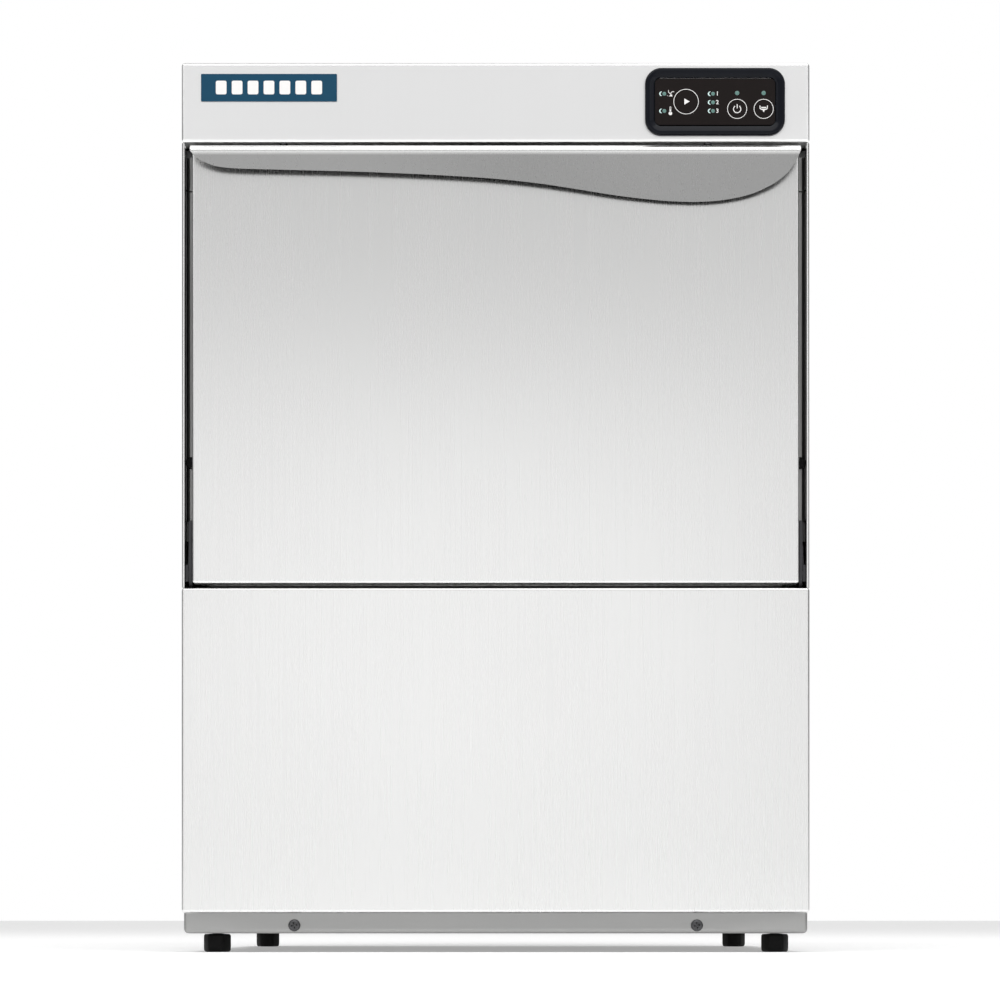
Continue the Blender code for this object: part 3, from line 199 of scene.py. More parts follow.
def moulded(name, colour, roughness, grain=900, depth=0.01 * MM, wear=0.25, **settings):
    """Moulded plastic or rubber with a fine spark-eroded grain and rubbed high spots."""
    surface = Surface(name, colour, roughness, 0.0, **settings)
    surface.tint(surface.spread(surface.noise(70, 4.0), 0.0, wear, 0.45, 0.75), shade(colour, 1.9))
    surface.shine(surface.noise(180, 3.0), min(0.05, roughness * 0.4))
    surface.relief(surface.noise(grain, 3.0), depth)
    return surface.material


def turned_metal(name, colour, roughness):
    """Machined or drawn metal with tool marks."""
    surface = Surface(name, colour, roughness, 1.0)
    surface.tint(surface.spread(surface.noise(120, 4.0), 0.0, 0.4, 0.4, 0.7), shade(colour, 0.55))
    surface.shine(surface.noise(500, 2.0), 0.08)
    surface.relief(surface.noise(1500, 2.0), 0.004 * MM)
    return surface.material


def perforated(name, colour, roughness, pitch=4.5 * MM):
    """Filter sheet: round holes in straight rows, shown as dimples painted near black: painted shade for
    the dark seen through them.
    """
    surface = Surface(name, colour, roughness, 1.0)
    mapped = surface.node("ShaderNodeMapping", Vector=surface.place, Scale=[1 / pitch] * 3)
    cells = surface.node("ShaderNodeTexVoronoi", Vector=mapped.outputs[0], Scale=1.0, Randomness=0.0)
    cells.voronoi_dimensions = "2D"
    hole = surface.spread(cells.outputs["Distance"], 1.0, 0.0, 0.28, 0.36)
    # painted shade: the holes tinted near black
    surface.tint(hole, shade(colour, 0.05))
    surface.shine(surface.noise(60, 3.0), 0.06)
    surface.relief(surface.maths("SUBTRACT", 1.0, hole), 0.08 * MM)
    return surface.material


BRUSHED = brushed_steel("brushed_upright", (0.80, 0.80, 0.795), 0.27)
LIP_PAINTED_HIGHLIGHT = (757.4 * MM, 760.8 * MM, (0.72, 0.72, 0.715))  # painted highlight on the bend along the top of the door handle
# painted shade: the door's steel made darker for the lip, whose face looks down
LIP_STEEL_PAINTED_SHADE = brushed_steel("brushed_lip_painted_shade", (0.315, 0.315, 0.313), 0.27, crest=LIP_PAINTED_HIGHLIGHT)
BRUSHED_FASCIA = brushed_steel("brushed_fascia", (0.94, 0.94, 0.94), 0.36)
BRUSHED_FLAT = brushed_steel("brushed_flat", (0.78, 0.78, 0.775), 0.32, grain=X, anisotropic=0.0)
# painted shade: a darker copy of the casing steel for the base strip under the lower panel
BASE_STEEL_PAINTED_SHADE = brushed_steel("base_steel_painted_shade", (0.33, 0.33, 0.326), 0.34, mottle=0.05)
CHAMBER_STEEL = rolled_steel("chamber_steel", (0.64, 0.64, 0.63), 0.24)
FRAME_STEEL = rolled_steel("frame_steel", (0.34, 0.34, 0.335), 0.36)
# painted shade: a darker copy of the frame steel, for faces deep in the gap beside the door
FRAME_STEEL_PAINTED_SHADE = rolled_steel("frame_painted_shade", (0.10, 0.10, 0.10), 0.45)
FILTER_STEEL = perforated("filter_steel", (0.60, 0.60, 0.59), 0.3)
ZINC = zinc_plate("zinc", (0.50, 0.51, 0.52), 0.42)
ZINC_DARK = zinc_plate("zinc_black", (0.055, 0.055, 0.058), 0.45)
SCREW_STEEL = turned_metal("screw_steel", (0.085, 0.085, 0.088), 0.34)
SHAFT_STEEL = turned_metal("shaft_steel", (0.42, 0.42, 0.42), 0.30)
BRASS = turned_metal("brass_turned", (0.70, 0.52, 0.26), 0.32)
MOTOR_PAINT = moulded("motor_paint", (0.060, 0.066, 0.074), 0.48, 300, 0.05 * MM)
CASTING = moulded("pump_casting", (0.14, 0.15, 0.16), 0.55, 260, 0.08 * MM)
GREY_PLASTIC = moulded("grey_polypropylene", (0.30, 0.31, 0.32), 0.42, wear=0.10)
BLACK_PLASTIC = moulded(
    "black_polyamide", (0.0035, 0.0035, 0.0035), 0.40, 500, 0.03 * MM, 0.5, Specular_IOR_Level=0.10
)
BEZEL_PLASTIC = moulded(
    "bezel_gloss", (0.0030, 0.0038, 0.0065), 0.14, 120, 0.01 * MM, 0.3,
    Specular_IOR_Level=0.10, Coat_Weight=0.08,
)
FILM = moulded(
    "overlay_film", (0.0078, 0.0055, 0.0052), 0.45, 1600, 0.002 * MM, 0.15, Specular_IOR_Level=0.10
)
PRINT = moulded("white_print", (0.76, 0.75, 0.74), 0.55, 1600, 0.002 * MM, 0.05)
LENS_MINT = moulded("lens_mint", (0.56, 0.74, 0.72), 0.25, 700, 0.004 * MM, 0.08)
LENS_GREEN = moulded("lens_green", (0.095, 0.190, 0.170), 0.22, 700, 0.004 * MM, 0.20)
BADGE_BLUE = moulded(
    "badge_blue", (0.0085, 0.0520, 0.0980), 0.38, 800, 0.002 * MM, 0.04, Specular_IOR_Level=0.12
)
BOARD_GREEN = moulded("board_green", (0.02, 0.12, 0.05), 0.5, 300, 0.03 * MM)
RUBBER = moulded("rubber", (0.012, 0.012, 0.012), 0.62, 700, 0.03 * MM, 0.3)


# ---------------------------------------------------------------- building pieces
def finish(name, mesh, material, body, replaced=(), sharp=35):
    """Makes a piece of a mesh in world coordinates, smooth but for its sharp edges."""
    mesh.materials.clear()
    mesh.materials.append(material)
    mesh.shade_smooth()
    mesh.set_sharp_from_angle(angle=math.radians(sharp))
    piece = bpy.data.objects.new(name, mesh)
    bpy.context.scene.collection.objects.link(piece)
    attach(piece, body)
    if replaced:
        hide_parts(*replaced)
    return piece


def mesh_of(name, bm):
    """A mesh of the bmesh, with its faces turned outwards. It frees the bmesh."""
    bmesh.ops.recalc_face_normals(bm, faces=bm.faces)
    mesh = bpy.data.meshes.new(name)
    bm.to_mesh(mesh)
    bm.free()
    return mesh


def even_normals(piece):
    """Keeps wide flats flat beside their rounded bends."""
    weighted = piece.modifiers.new("normals", "WEIGHTED_NORMAL")
    weighted.weight = 100
    weighted.keep_sharp = True


def evaluated_mesh(obj):
    """A new mesh of the object as its modifiers or its curve leave it."""
    bpy.context.view_layer.update()
    return bpy.data.meshes.new_from_object(obj.evaluated_get(bpy.context.evaluated_depsgraph_get()))


def bridge_rings(bm, rings, closed=True):
    """Joins rings of equal length with quads."""
    made = [[bm.verts.new(point) for point in ring] for ring in rings]
    for lower, upper in zip(made, made[1:]):
        count = len(lower)
        for k in range(count if closed else count - 1):
            after = (k + 1) % count
            bm.faces.new((lower[k], lower[after], upper[after], upper[k]))
    return made


def turned(profile, origin, axis, sides):
    """A closed turned mesh. The profile's (radius, height) pairs start and end on the axis."""
    bm = bmesh.new()
    turn = axis.to_track_quat("Z", "Y").to_matrix()
    rings = []
    for radius, height in profile:
        ring = circle(0, 0, radius, sides)
        rings.append([Vector(origin) + turn @ Vector((x, y, height)) for x, y in ring])
    bridge_rings(bm, rings)
    bmesh.ops.remove_doubles(bm, verts=bm.verts, dist=MERGE_WITHIN)
    return bm


def circle(x, z, radius, sides=48):
    """Points round a circle, from the right and anticlockwise."""
    angles = [2 * math.pi * k / sides for k in range(sides)]
    return [(x + radius * math.cos(a), z + radius * math.sin(a)) for a in angles]


def rounded_rectangle(x, z, width, height, radius, steps=8):
    points = []
    for corner, (sx, sz) in enumerate(((1, 1), (-1, 1), (-1, -1), (1, -1))):
        cx = x + sx * (width / 2 - radius)
        cz = z + sz * (height / 2 - radius)
        for step in range(steps + 1):
            angle = math.pi / 2 * (corner + step / steps)
            points.append((cx + radius * math.cos(angle), cz + radius * math.sin(angle)))
    return points


def arc(x, z, radius, start, end, steps):
    """Part of a circle, from start to end in degrees."""
    angles = [math.radians(start + (end - start) * k / steps) for k in range(steps + 1)]
    return [(x + radius * math.cos(a), z + radius * math.sin(a)) for a in angles]


def arc_band(x, z, inner, outer, start, end, steps):
    """The outline of part of a ring, from start to end in degrees."""
    return arc(x, z, outer, start, end, steps) + arc(x, z, inner, start, end, steps)[::-1]


def front_plate(name, outlines, back, thickness):
    """A flat plate that faces the front, from its back face's Y towards the viewer."""
    curve = bpy.data.curves.new(name, "CURVE")
    curve.dimensions = "2D"
    curve.fill_mode = "BOTH"
    curve.extrude = thickness / 2
    for outline in outlines:
        spline = curve.splines.new("POLY")
        spline.points.add(len(outline) - 1)
        for point, (x, z) in zip(spline.points, outline):
            point.co = (x, z, 0, 1)
        spline.use_cyclic_u = True
    place = Matrix.Translation((0, back - thickness / 2, 0)) @ Matrix.Rotation(math.radians(90), 4, "X")
    return curve_to_mesh(name, curve, place)


def curve_to_mesh(name, curve, place):
    source = bpy.data.objects.new(name + "_source", curve)
    bpy.context.scene.collection.objects.link(source)
    mesh = evaluated_mesh(source)
    bpy.data.objects.remove(source)
    bm = bmesh.new()
    bm.from_mesh(mesh)
    bmesh.ops.remove_doubles(bm, verts=bm.verts, dist=MERGE_WITHIN)
    bmesh.ops.transform(bm, matrix=place, verts=bm.verts)
    bpy.data.meshes.remove(mesh)
    return mesh_of(name, bm)


def smooth_curve(points, x):
    """The height at x of a smooth curve through (x, height) points in order of x."""
    if x <= points[0][0]:
        return points[0][1]
    for k, ((x0, h0), (x1, h1)) in enumerate(zip(points, points[1:])):
        if x > x1:
            continue
        before = points[max(k - 1, 0)]
        after = points[min(k + 2, len(points) - 1)]
        slope0 = (h1 - before[1]) / (x1 - before[0])
        slope1 = (after[1] - h0) / (after[0] - x0)
        span = x1 - x0
        t = (x - x0) / span
        return (
            h0 * (2 * t**3 - 3 * t**2 + 1) + h1 * (3 * t**2 - 2 * t**3)
            + span * (slope0 * (t**3 - 2 * t**2 + t) + slope1 * (t**3 - t**2))
        )
    return points[-1][1]


def dress(node, material):
    """Gives a CAD node its material and smooth shading that breaks at its real edges."""
    obj = NODES[node]
    obj.data.materials.clear()
    obj.data.materials.append(material)
    custom = obj.data.attributes.get("custom_normal")
    if custom:
        obj.data.attributes.remove(custom)
    obj.data.shade_smooth()
    weld = obj.modifiers.new("weld", "WELD")
    weld.merge_threshold = 0.01 * MM
    edges = obj.modifiers.new("edges", "EDGE_SPLIT")
    edges.split_angle = math.radians(38)
    even_normals(obj)


# ---------------------------------------------------------------- the frame's measures
HANDLE_LOW, HANDLE_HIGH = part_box("door_handle")
FRONT_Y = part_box("lower_front_panel")[0].y  # the machine's front face


def centre(node):
    """The middle of the node's box."""
    low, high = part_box(node)
    return (low + high) / 2


def width_of(node):
    """The node's size in X."""
    low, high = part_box(node)
    return high.x - low.x


# ---------------------------------------------------------------- door handle
LIP_EDGE = [  # x and z of the lip's free edge, in millimetres
    (-290.0, 761.5), (-286.7, 757.4), (-283.9, 755.0), (-280.2, 752.8), (-275.5, 750.7), (-270.8, 749.0),
    (-266.1, 747.6), (-256.7, 746.3), (-242.5, 745.4), (-223.5, 744.9), (-185.5, 744.0), (-138.1, 742.9),
    (-90.6, 741.2), (-43.1, 738.9), (-0.4, 736.1), (42.4, 731.6), (80.4, 726.0), (118.5, 720.2),
    (156.5, 716.1), (175.5, 715.0), (194.6, 714.8), (213.6, 716.0), (232.5, 719.1), (243.9, 722.1),
    (254.3, 726.2), (263.7, 730.8), (270.3, 735.0), (277.6, 741.3), (282.4, 747.1), (286.3, 753.5),
    (290.0, 761.5),
]
LIP_SLOPE = [  # x in millimetres and how far the face leans back there, in degrees
    (-290, 16), (-110, 16), (60, 11), (160, 9.5), (290, 9.5),
]
LIP_BEND = 6.0 * MM
LIP_SHEET = 1.2 * MM
LIP_RISE = 1.0 * MM  # how far its bend stands above the CAD node
BEND_STEPS = 14
FACE_STEPS = 8
LIP_COLUMNS = 150
END_EASE = 0.55  # 0 spaces the columns evenly, and 1 crowds them most at the ends


def lip_section(x):
    """The lip's outer line at x: flange, round bend and leaning face, down to the free edge."""
    top = HANDLE_HIGH.z + LIP_RISE
    lean = math.radians(smooth_curve(LIP_SLOPE, x / MM))
    edge = min(smooth_curve(LIP_EDGE, x / MM) * MM, top - 0.2 * MM)
    turn = Vector((HANDLE_LOW.y + LIP_BEND, top - LIP_BEND))
    line = [Vector((y, top)) for y in (HANDLE_HIGH.y, turn.x + 0.6 * (HANDLE_HIGH.y - turn.x), turn.x)]
    lowest = turn.y - LIP_BEND * math.sin(lean)
    last = math.pi + lean
    if edge > lowest:
        last = math.pi - math.asin((edge - turn.y) / LIP_BEND)
    for k in range(1, BEND_STEPS + 1):
        angle = math.pi / 2 + (last - math.pi / 2) * k / BEND_STEPS
        line.append(turn + LIP_BEND * Vector((math.cos(angle), math.sin(angle))))
    start = line[-1]
    fall = max(0.0, lowest - edge)
    foot = start + Vector((fall * math.tan(lean), -fall - 0.01 * MM))
    line += [start.lerp(foot, k / FACE_STEPS) for k in range(1, FACE_STEPS + 1)]
    return [(x, point.x, point.y) for point in line]


def make_handle():
    """A bent sheet with a wavy lip, in sections that are closer together towards its ends."""
    low, high = HANDLE_LOW.x, HANDLE_HIGH.x
    bm = bmesh.new()
    rings = []
    for k in range(LIP_COLUMNS + 1):
        t = k / LIP_COLUMNS
        eased = 0.5 - 0.5 * math.cos(math.pi * t)
        rings.append(lip_section(low + (high - low) * (t + END_EASE * (eased - t))))
    bridge_rings(bm, rings, closed=False)
    bm.normal_update()
    flange = max(bm.faces, key=lambda face: face.calc_center_median().z)
    if flange.normal.z < 0:
        bmesh.ops.reverse_faces(bm, faces=bm.faces)
    mesh = bpy.data.meshes.new("door_handle_lip")
    bm.to_mesh(mesh)
    bm.free()
    handle = finish("door_handle_lip", mesh, LIP_STEEL_PAINTED_SHADE, "door", ["door_handle"], 60)
    shell = handle.modifiers.new("sheet", "SOLIDIFY")
    shell.thickness = LIP_SHEET
    shell.offset = -1.0
    rounding = handle.modifiers.new("rounding", "BEVEL")
    rounding.width = 0.25 * MM
    rounding.segments = 2
    rounding.angle_limit = math.radians(50)
    even_normals(handle)


# ---------------------------------------------------------------- control panel
BUTTONS = ("start_button", "power_button", "drain_button")
PANEL_CENTRE = centre("control_bezel")
FILM_LOW, FILM_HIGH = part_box("control_overlay")
BUTTON_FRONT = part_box("start_button")[0].y
PRINT_DEPTH = 0.08 * MM
BEZEL_RADIUS = 15.5 * MM
BEZEL_PROFILE = [  # inset from the rim and height over the fascia, in millimetres
    (0.0, 0.0), (0.0, 1.4), (0.15, 2.3), (0.6, 3.2), (1.3, 3.9), (2.3, 4.25), (3.4, 4.2), (5.2, 3.7),
    (7.4, 2.9), (8.6, 2.35), (9.0, 2.0), (9.1, 1.6), (9.1, 0.0),
]


def make_bezel():
    """The raised frame round the panel: a steep outer side, a rounded crest and a long inner slope."""
    low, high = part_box("control_bezel")
    width, height = high.x - low.x, high.z - low.z
    rings = []
    for inset, rise in BEZEL_PROFILE:
        step = inset * MM
        outline = rounded_rectangle(
            PANEL_CENTRE.x, PANEL_CENTRE.z, width - 2 * step, height - 2 * step, BEZEL_RADIUS - step, 14
        )
        rings.append([(x, high.y - rise * MM, z) for x, z in outline])
    bm = bmesh.new()
    bridge_rings(bm, [*rings, rings[0]])
    bmesh.ops.remove_doubles(bm, verts=bm.verts, dist=MERGE_WITHIN)
    frame_mesh = mesh_of("bezel_frame", bm)
    finish("bezel_frame", frame_mesh, BEZEL_PLASTIC, "cabinet", ["control_bezel"], 50)


def make_film():
    """The panel's film, with a hole round each button."""
    width, height = FILM_HIGH.x - FILM_LOW.x, FILM_HIGH.z - FILM_LOW.z
    outlines = [rounded_rectangle(PANEL_CENTRE.x, PANEL_CENTRE.z, width, height, 4.5 * MM)]
    for button in BUTTONS:
        middle = centre(button)
        outlines.append(circle(middle.x, middle.z, width_of(button) / 2 + 0.35 * MM))
    mesh = front_plate("panel_film", outlines, FILM_HIGH.y, FILM_HIGH.y - FILM_LOW.y)
    finish("panel_film", mesh, FILM, "cabinet", ["control_overlay"])


def printed(name, outlines, body, front, material=PRINT):
    """Ink on a surface whose front is at the given Y."""
    mesh = front_plate(name, outlines, front - 0.01 * MM, PRINT_DEPTH)
    return finish(name, mesh, material, body)


def make_prints():
    """A ring round each button, and the signs on the buttons and beside the lights."""
    for button in BUTTONS:
        middle = centre(button)
        inner = width_of(button) / 2 + 0.50 * MM
        ring = [circle(middle.x, middle.z, inner + 0.55 * MM), circle(middle.x, middle.z, inner)]
        printed(button + "_ring", ring, "cabinet", FILM_LOW.y)
    make_start_mark()
    make_power_mark()
    make_drain_mark()
    make_spray_mark()
    make_heat_mark()
    make_numbers()


def make_start_mark():
    """A plain triangle that points right."""
    middle = centre("start_button")
    size = 3.4 * MM
    printed("start_mark", [circle(middle.x, middle.z, size, 3)], "start_cap", BUTTON_FRONT)


def make_power_mark():
    """A ring that is open at the top, with a bar in the gap."""
    middle = centre("power_button")
    ring = arc_band(middle.x, middle.z - 0.3 * MM, 3.1 * MM, 3.9 * MM, 125, 415, 40)
    bar = rounded_rectangle(middle.x, middle.z + 2.4 * MM, 0.85 * MM, 4.2 * MM, 0.3 * MM, 3)
    printed("power_mark", [ring, bar], "power_cap", BUTTON_FRONT)


def make_drain_mark():
    """A basin that holds water, over an arrow that points down."""
    middle = centre("drain_button")
    basin = [
        (-3.9, 3.1), (-3.1, 3.1), (-3.1, 0.6), (-2.2, 0.0), (2.2, 0.0), (3.1, 0.6), (3.1, 3.1), (3.9, 3.1),
        (3.9, 0.2), (2.5, -1.0), (1.1, -1.0), (1.1, -1.5), (0.0, -3.4), (-1.1, -1.5), (-1.1, -1.0),
        (-2.5, -1.0), (-3.9, 0.2),
    ]
    water = [(-2.6, 1.7), (2.6, 1.7), (2.2, 0.7), (-2.2, 0.7)]
    outlines = [[(middle.x + x * MM, middle.z + z * MM) for x, z in shape] for shape in (basin, water)]
    printed("drain_mark", outlines, "drain_cap", BUTTON_FRONT)


LEFT_LIGHTS, RIGHT_LIGHTS = 159.6 * MM, 206.0 * MM  # the x of the two columns of paired lights
UPPER_Z, MIDDLE_Z, LOWER_Z = 819.3 * MM, 811.1 * MM, 802.9 * MM
BUTTON_LIGHTS_Z = 820.0 * MM
JET_REACH = 2.3 * MM


def make_spray_mark():
    """Four curved jets that turn about a centre."""
    x, z = LEFT_LIGHTS + 7.4 * MM, UPPER_Z
    jets = []
    for turn in (0, 90, 180, 270):
        jet_x = x + JET_REACH * math.cos(math.radians(turn))
        jet_z = z + JET_REACH * math.sin(math.radians(turn))
        jets.append(arc_band(jet_x, jet_z, 1.75 * MM, 2.35 * MM, turn + 60, turn + 190, 12))
    printed("spray_mark", jets, "cabinet", FILM_LOW.y)


def make_heat_mark():
    """A thermometer."""
    x, z = LEFT_LIGHTS + 7.2 * MM, LOWER_Z
    bulb = circle(x, z - 2.3 * MM, 1.75 * MM, 24)
    printed("heat_bulb", [bulb], "cabinet", FILM_LOW.y)
    stem = rounded_rectangle(x, z + 1.4 * MM, 1.5 * MM, 5.6 * MM, 0.7 * MM, 5)
    slit = rounded_rectangle(x, z + 2.5 * MM, 0.6 * MM, 2.6 * MM, 0.28 * MM, 4)
    printed("heat_stem", [stem, slit], "cabinet", FILM_LOW.y)


def make_numbers():
    """The programs' numbers, 1 to 3."""
    for number, z in zip("123", (UPPER_Z, MIDDLE_Z, LOWER_Z)):
        text = bpy.data.curves.new("program_" + number, "FONT")
        text.body = number
        text.size = 5.6 * MM
        text.align_x = "CENTER"
        text.align_y = "CENTER"
        text.offset = 0.06 * MM
        text.extrude = PRINT_DEPTH / 2
        place = Matrix.Translation((RIGHT_LIGHTS + 5.6 * MM, FILM_LOW.y - PRINT_DEPTH / 2, z))
        mesh = curve_to_mesh("program_" + number, text, place @ Matrix.Rotation(math.radians(90), 4, "X"))
        finish("program_" + number, mesh, PRINT, "cabinet")


def lens(name, x, z, radius):
    """A low round dome on the film."""
    rise, seat = 0.30 * MM, -0.25 * MM
    profile = [(0, seat), (radius, seat)]
    profile += [(radius * math.cos(a), rise * math.sin(a)) for a in map(math.radians, range(0, 91, 15))]
    bm = turned(profile, (x, FILM_LOW.y, z), -Y, 32)
    return finish(name, mesh_of(name, bm), LENS_GREEN, "cabinet", sharp=50)


def make_indicators():
    """Paired indicators (a pale crescent beside a green lens) and two single lenses."""
    pairs = [
        (LEFT_LIGHTS, UPPER_Z), (LEFT_LIGHTS, LOWER_Z),
        (RIGHT_LIGHTS, UPPER_Z), (RIGHT_LIGHTS, MIDDLE_Z), (RIGHT_LIGHTS, LOWER_Z),
    ]
    for number, (x, z) in enumerate(pairs):
        left = x - 1.3 * MM
        crescent = arc(left, z, 2.15 * MM, 75, 285, 24) + arc(left + 0.75 * MM, z, 1.72 * MM, 250, 110, 16)
        printed(f"indicator_crescent_{number}", [crescent], "cabinet", FILM_LOW.y, LENS_MINT)
        lens(f"indicator_lens_{number}", x + 1.45 * MM, z, 1.85 * MM)
    for button in ("power_button", "drain_button"):
        lens(button + "_light", centre(button).x, BUTTON_LIGHTS_Z, 2.1 * MM)
    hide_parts("light_guide")


# ---------------------------------------------------------------- badge
BADGE_THICKNESS = 0.7 * MM
BLOCKS = 7
BLOCK_WIDTH, BLOCK_HEIGHT, BLOCK_PITCH = 10.2 * MM, 13.0 * MM, 15.2 * MM


def make_badge():
    """A blue plate with a row of plain blocks."""
    low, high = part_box("nameplate")
    middle = (low + high) / 2
    outline = rounded_rectangle(middle.x, middle.z, high.x - low.x, high.z - low.z, 0.8 * MM)
    plate = front_plate("badge_plate", [outline], high.y, BADGE_THICKNESS)
    finish("badge_plate", plate, BADGE_BLUE, "cabinet", ["nameplate"])
    for number in range(BLOCKS):
        x = middle.x + (number - (BLOCKS - 1) / 2) * BLOCK_PITCH
        block = rounded_rectangle(x, middle.z, BLOCK_WIDTH, BLOCK_HEIGHT, 1.6 * MM, 6)
        printed(f"badge_block_{number + 1}", [block], "cabinet", high.y - BADGE_THICKNESS)


# ---------------------------------------------------------------- feet and screws
FOOT_HEIGHT = 17.8 * MM  # of the moulded part, under the stud
FOOT_PROFILE = [  # radius at the corners and height, in millimetres
    (0.2, 0.0), (10.0, 0.0), (11.6, 0.25), (12.6, 1.1), (13.0, 2.4), (13.15, 5.0), (13.15, 15.3),
    (12.8, 16.5), (12.0, 17.3), (5.4, 17.8), (0.2, 17.8),
]
FOOT_ROUND_WITHIN = 5.5  # millimetres from the axis
FOOT_SIDES = 72
THREAD_PITCH = 1.5 * MM


def hexagon_reach(angle):
    """How far a hexagon with soft corners reaches at an angle, as a share of its corners' radius."""
    facet = math.cos(math.radians(30)) / math.cos((angle + math.pi / 6) % (math.pi / 3) - math.pi / 6)
    return 0.25 + 0.75 * min(1.0, facet * 1.035)


def make_foot(node):
    """A moulded hexagonal foot with soft corners, a rounded bottom rim and a threaded stud."""
    low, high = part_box(node)
    middle = (low + high) / 2
    rings = []
    for radius, height in FOOT_PROFILE:
        ring = []
        for k in range(FOOT_SIDES):
            angle = 2 * math.pi * k / FOOT_SIDES
            reach = radius * MM * (hexagon_reach(angle) if radius > FOOT_ROUND_WITHIN else 1.0)
            x, y = middle.x + reach * math.sin(angle), middle.y + reach * math.cos(angle)
            ring.append((x, y, height * MM))
        rings.append(ring)
    bm = bmesh.new()
    made = bridge_rings(bm, rings)
    bm.faces.new(made[0])
    bm.faces.new(made[-1])
    moulding = mesh_of(node + "_moulding", bm)
    finish(node + "_moulding", moulding, BLACK_PLASTIC, "cabinet", [node], 40)
    profile = [(0, high.z)]
    for k in range(int((high.z - FOOT_HEIGHT) / THREAD_PITCH)):
        top = high.z - THREAD_PITCH * k
        profile += [(5.0 * MM, top - 0.3 * MM), (4.3 * MM, top - 1.05 * MM)]
    foot = FOOT_HEIGHT - 0.1 * MM
    profile += [(4.6 * MM, foot), (0, foot)]
    bm = turned(profile, (middle.x, middle.y, 0), Z, 24)
    stud = mesh_of(node + "_stud", bm)
    finish(node + "_stud", stud, SHAFT_STEEL, "cabinet", sharp=25)


SHANK_LENGTH = 4.0 * MM
PAN_HEAD = [  # shares of the head's radius and height
    (0.97, 0), (1.0, 0.12), (0.98, 0.35), (0.90, 0.66), (0.74, 0.88), (0.50, 1.0), (0, 1.0),
]
RECESS_TURN = 12  # degrees, so that the cross isn't upright


def cross_screw(name, seat, axis, radius, height, replaced=()):
    """A pan-head screw with a tapered cross recess."""
    shank = 0.45 * radius
    profile = [(0, -SHANK_LENGTH), (shank, -SHANK_LENGTH), (shank, 0)]
    profile += [(radius * across, height * up) for across, up in PAN_HEAD]
    head = mesh_of(name, turned(profile, seat, axis, 40))
    screw = finish(name, head, SCREW_STEEL, "cabinet", replaced, 40)
    recess = bmesh.new()
    for turn in (0, 90):
        bar = bmesh.ops.create_cube(recess, size=1)["verts"]
        bmesh.ops.scale(recess, vec=(1.36 * radius, 0.26 * radius, 1.6 * height), verts=bar)
        for vert in bar:
            if vert.co.z < 0:
                vert.co.x *= 0.45
                vert.co.y *= 0.7
        spin = Matrix.Rotation(math.radians(turn + RECESS_TURN), 3, "Z")
        bmesh.ops.rotate(recess, cent=(0, 0, 0), matrix=spin, verts=bar)
    place = Matrix.Translation(Vector(seat) + axis * height * 0.9)
    place = place @ axis.to_track_quat("Z", "Y").to_matrix().to_4x4()
    bmesh.ops.transform(recess, matrix=place, verts=recess.verts)
    cutter = bpy.data.objects.new(name + "_recess", mesh_of(name + "_recess", recess))
    step = screw.modifiers.new("recess", "BOOLEAN")
    step.operation = "DIFFERENCE"
    step.object = cutter
    step.solver = "EXACT"
    step.use_self = True
    bpy.context.scene.collection.objects.link(cutter)
    cut = evaluated_mesh(screw)
    screw.modifiers.clear()
    screw.data = cut
    bpy.data.objects.remove(cutter)


FASCIA_SCREW_X = 203 * MM
FASCIA_SCREW_SETBACK = 6 * MM
BACK_SCREW_INSET_X, BACK_SCREW_INSET_Z = 9 * MM, 14 * MM


def make_screws():
    """The two screws in the base strip, and two under the control panel's sheet."""
    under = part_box("control_fascia")[0].z - 0.1 * MM
    for side, sign in SIDES:
        node = "panel_screw_" + side
        low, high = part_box(node)
        middle = (low + high) / 2
        radius = (high.z - low.z) / 2
        cross_screw(node + "_head", (middle.x, low.y + 3.0 * MM, middle.z), -Y, radius, 2.9 * MM, [node])
        seat = (sign * FASCIA_SCREW_X, FRONT_Y + FASCIA_SCREW_SETBACK, under)
        cross_screw("fascia_screw_" + side, seat, -Z, 4 * MM, 1.7 * MM)


def make_back_screws():
    """The screws that hold the rear panel, just inside its edges."""
    low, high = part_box("back_panel")
    columns = (low.x + BACK_SCREW_INSET_X, high.x - BACK_SCREW_INSET_X)
    bottom, span = low.z + BACK_SCREW_INSET_Z, high.z - low.z - 2 * BACK_SCREW_INSET_Z
    rows = [bottom + span * k / 4 for k in range(5)]
    seats = [(x, z) for z in rows for x in columns] + [(0.0, rows[0]), (0.0, rows[-1])]
    for number, (x, z) in enumerate(seats):
        cross_screw(f"back_screw_{number + 1}", (x, high.y - 0.1 * MM, z), Y, 4.2 * MM, 1.9 * MM)


# ---------------------------------------------------------------- the gap beside the door
def upright(name, sign, x_range, y_range, z_range, material, round_off=0.4 * MM):
    """A straight length of channel or seal with rounded edges, on the side that sign gives."""
    bm = bmesh.new()
    bmesh.ops.create_cube(bm, size=1)
    left, right = sorted(sign * x for x in x_range)
    low = Vector((left, min(y_range), min(z_range)))
    high = Vector((right, max(y_range), max(z_range)))
    for vert in bm.verts:
        vert.co = (low + high) / 2 + Vector([c * s for c, s in zip(vert.co, high - low)])
    bmesh.ops.bevel(bm, geom=bm.edges, offset=round_off, segments=3, affect="EDGES", profile=0.5)
    return finish(name, mesh_of(name, bm), material, "cabinet")


JAMB_BOTTOM, JAMB_TOP = 415 * MM, 765 * MM
SEAM_Z = 732 * MM
HALF_SEAM = 0.6 * MM
JAMB_INNER_X = (286 * MM, 294.8 * MM)
JAMB_SEAL_X = (295.0 * MM, 296.8 * MM)
JAMB_OUTER_X = (297.0 * MM, 298.3 * MM)
FIXING_X, FIXING_Z = 292.5 * MM, 470 * MM
FIXING_PROFILE = [  # radius and height, in millimetres
    (0, -10), (4.5, -10), (5.6, 0), (5.6, 1.2), (4.8, 2.0), (2.2, 2.4), (0, 2.4),
]


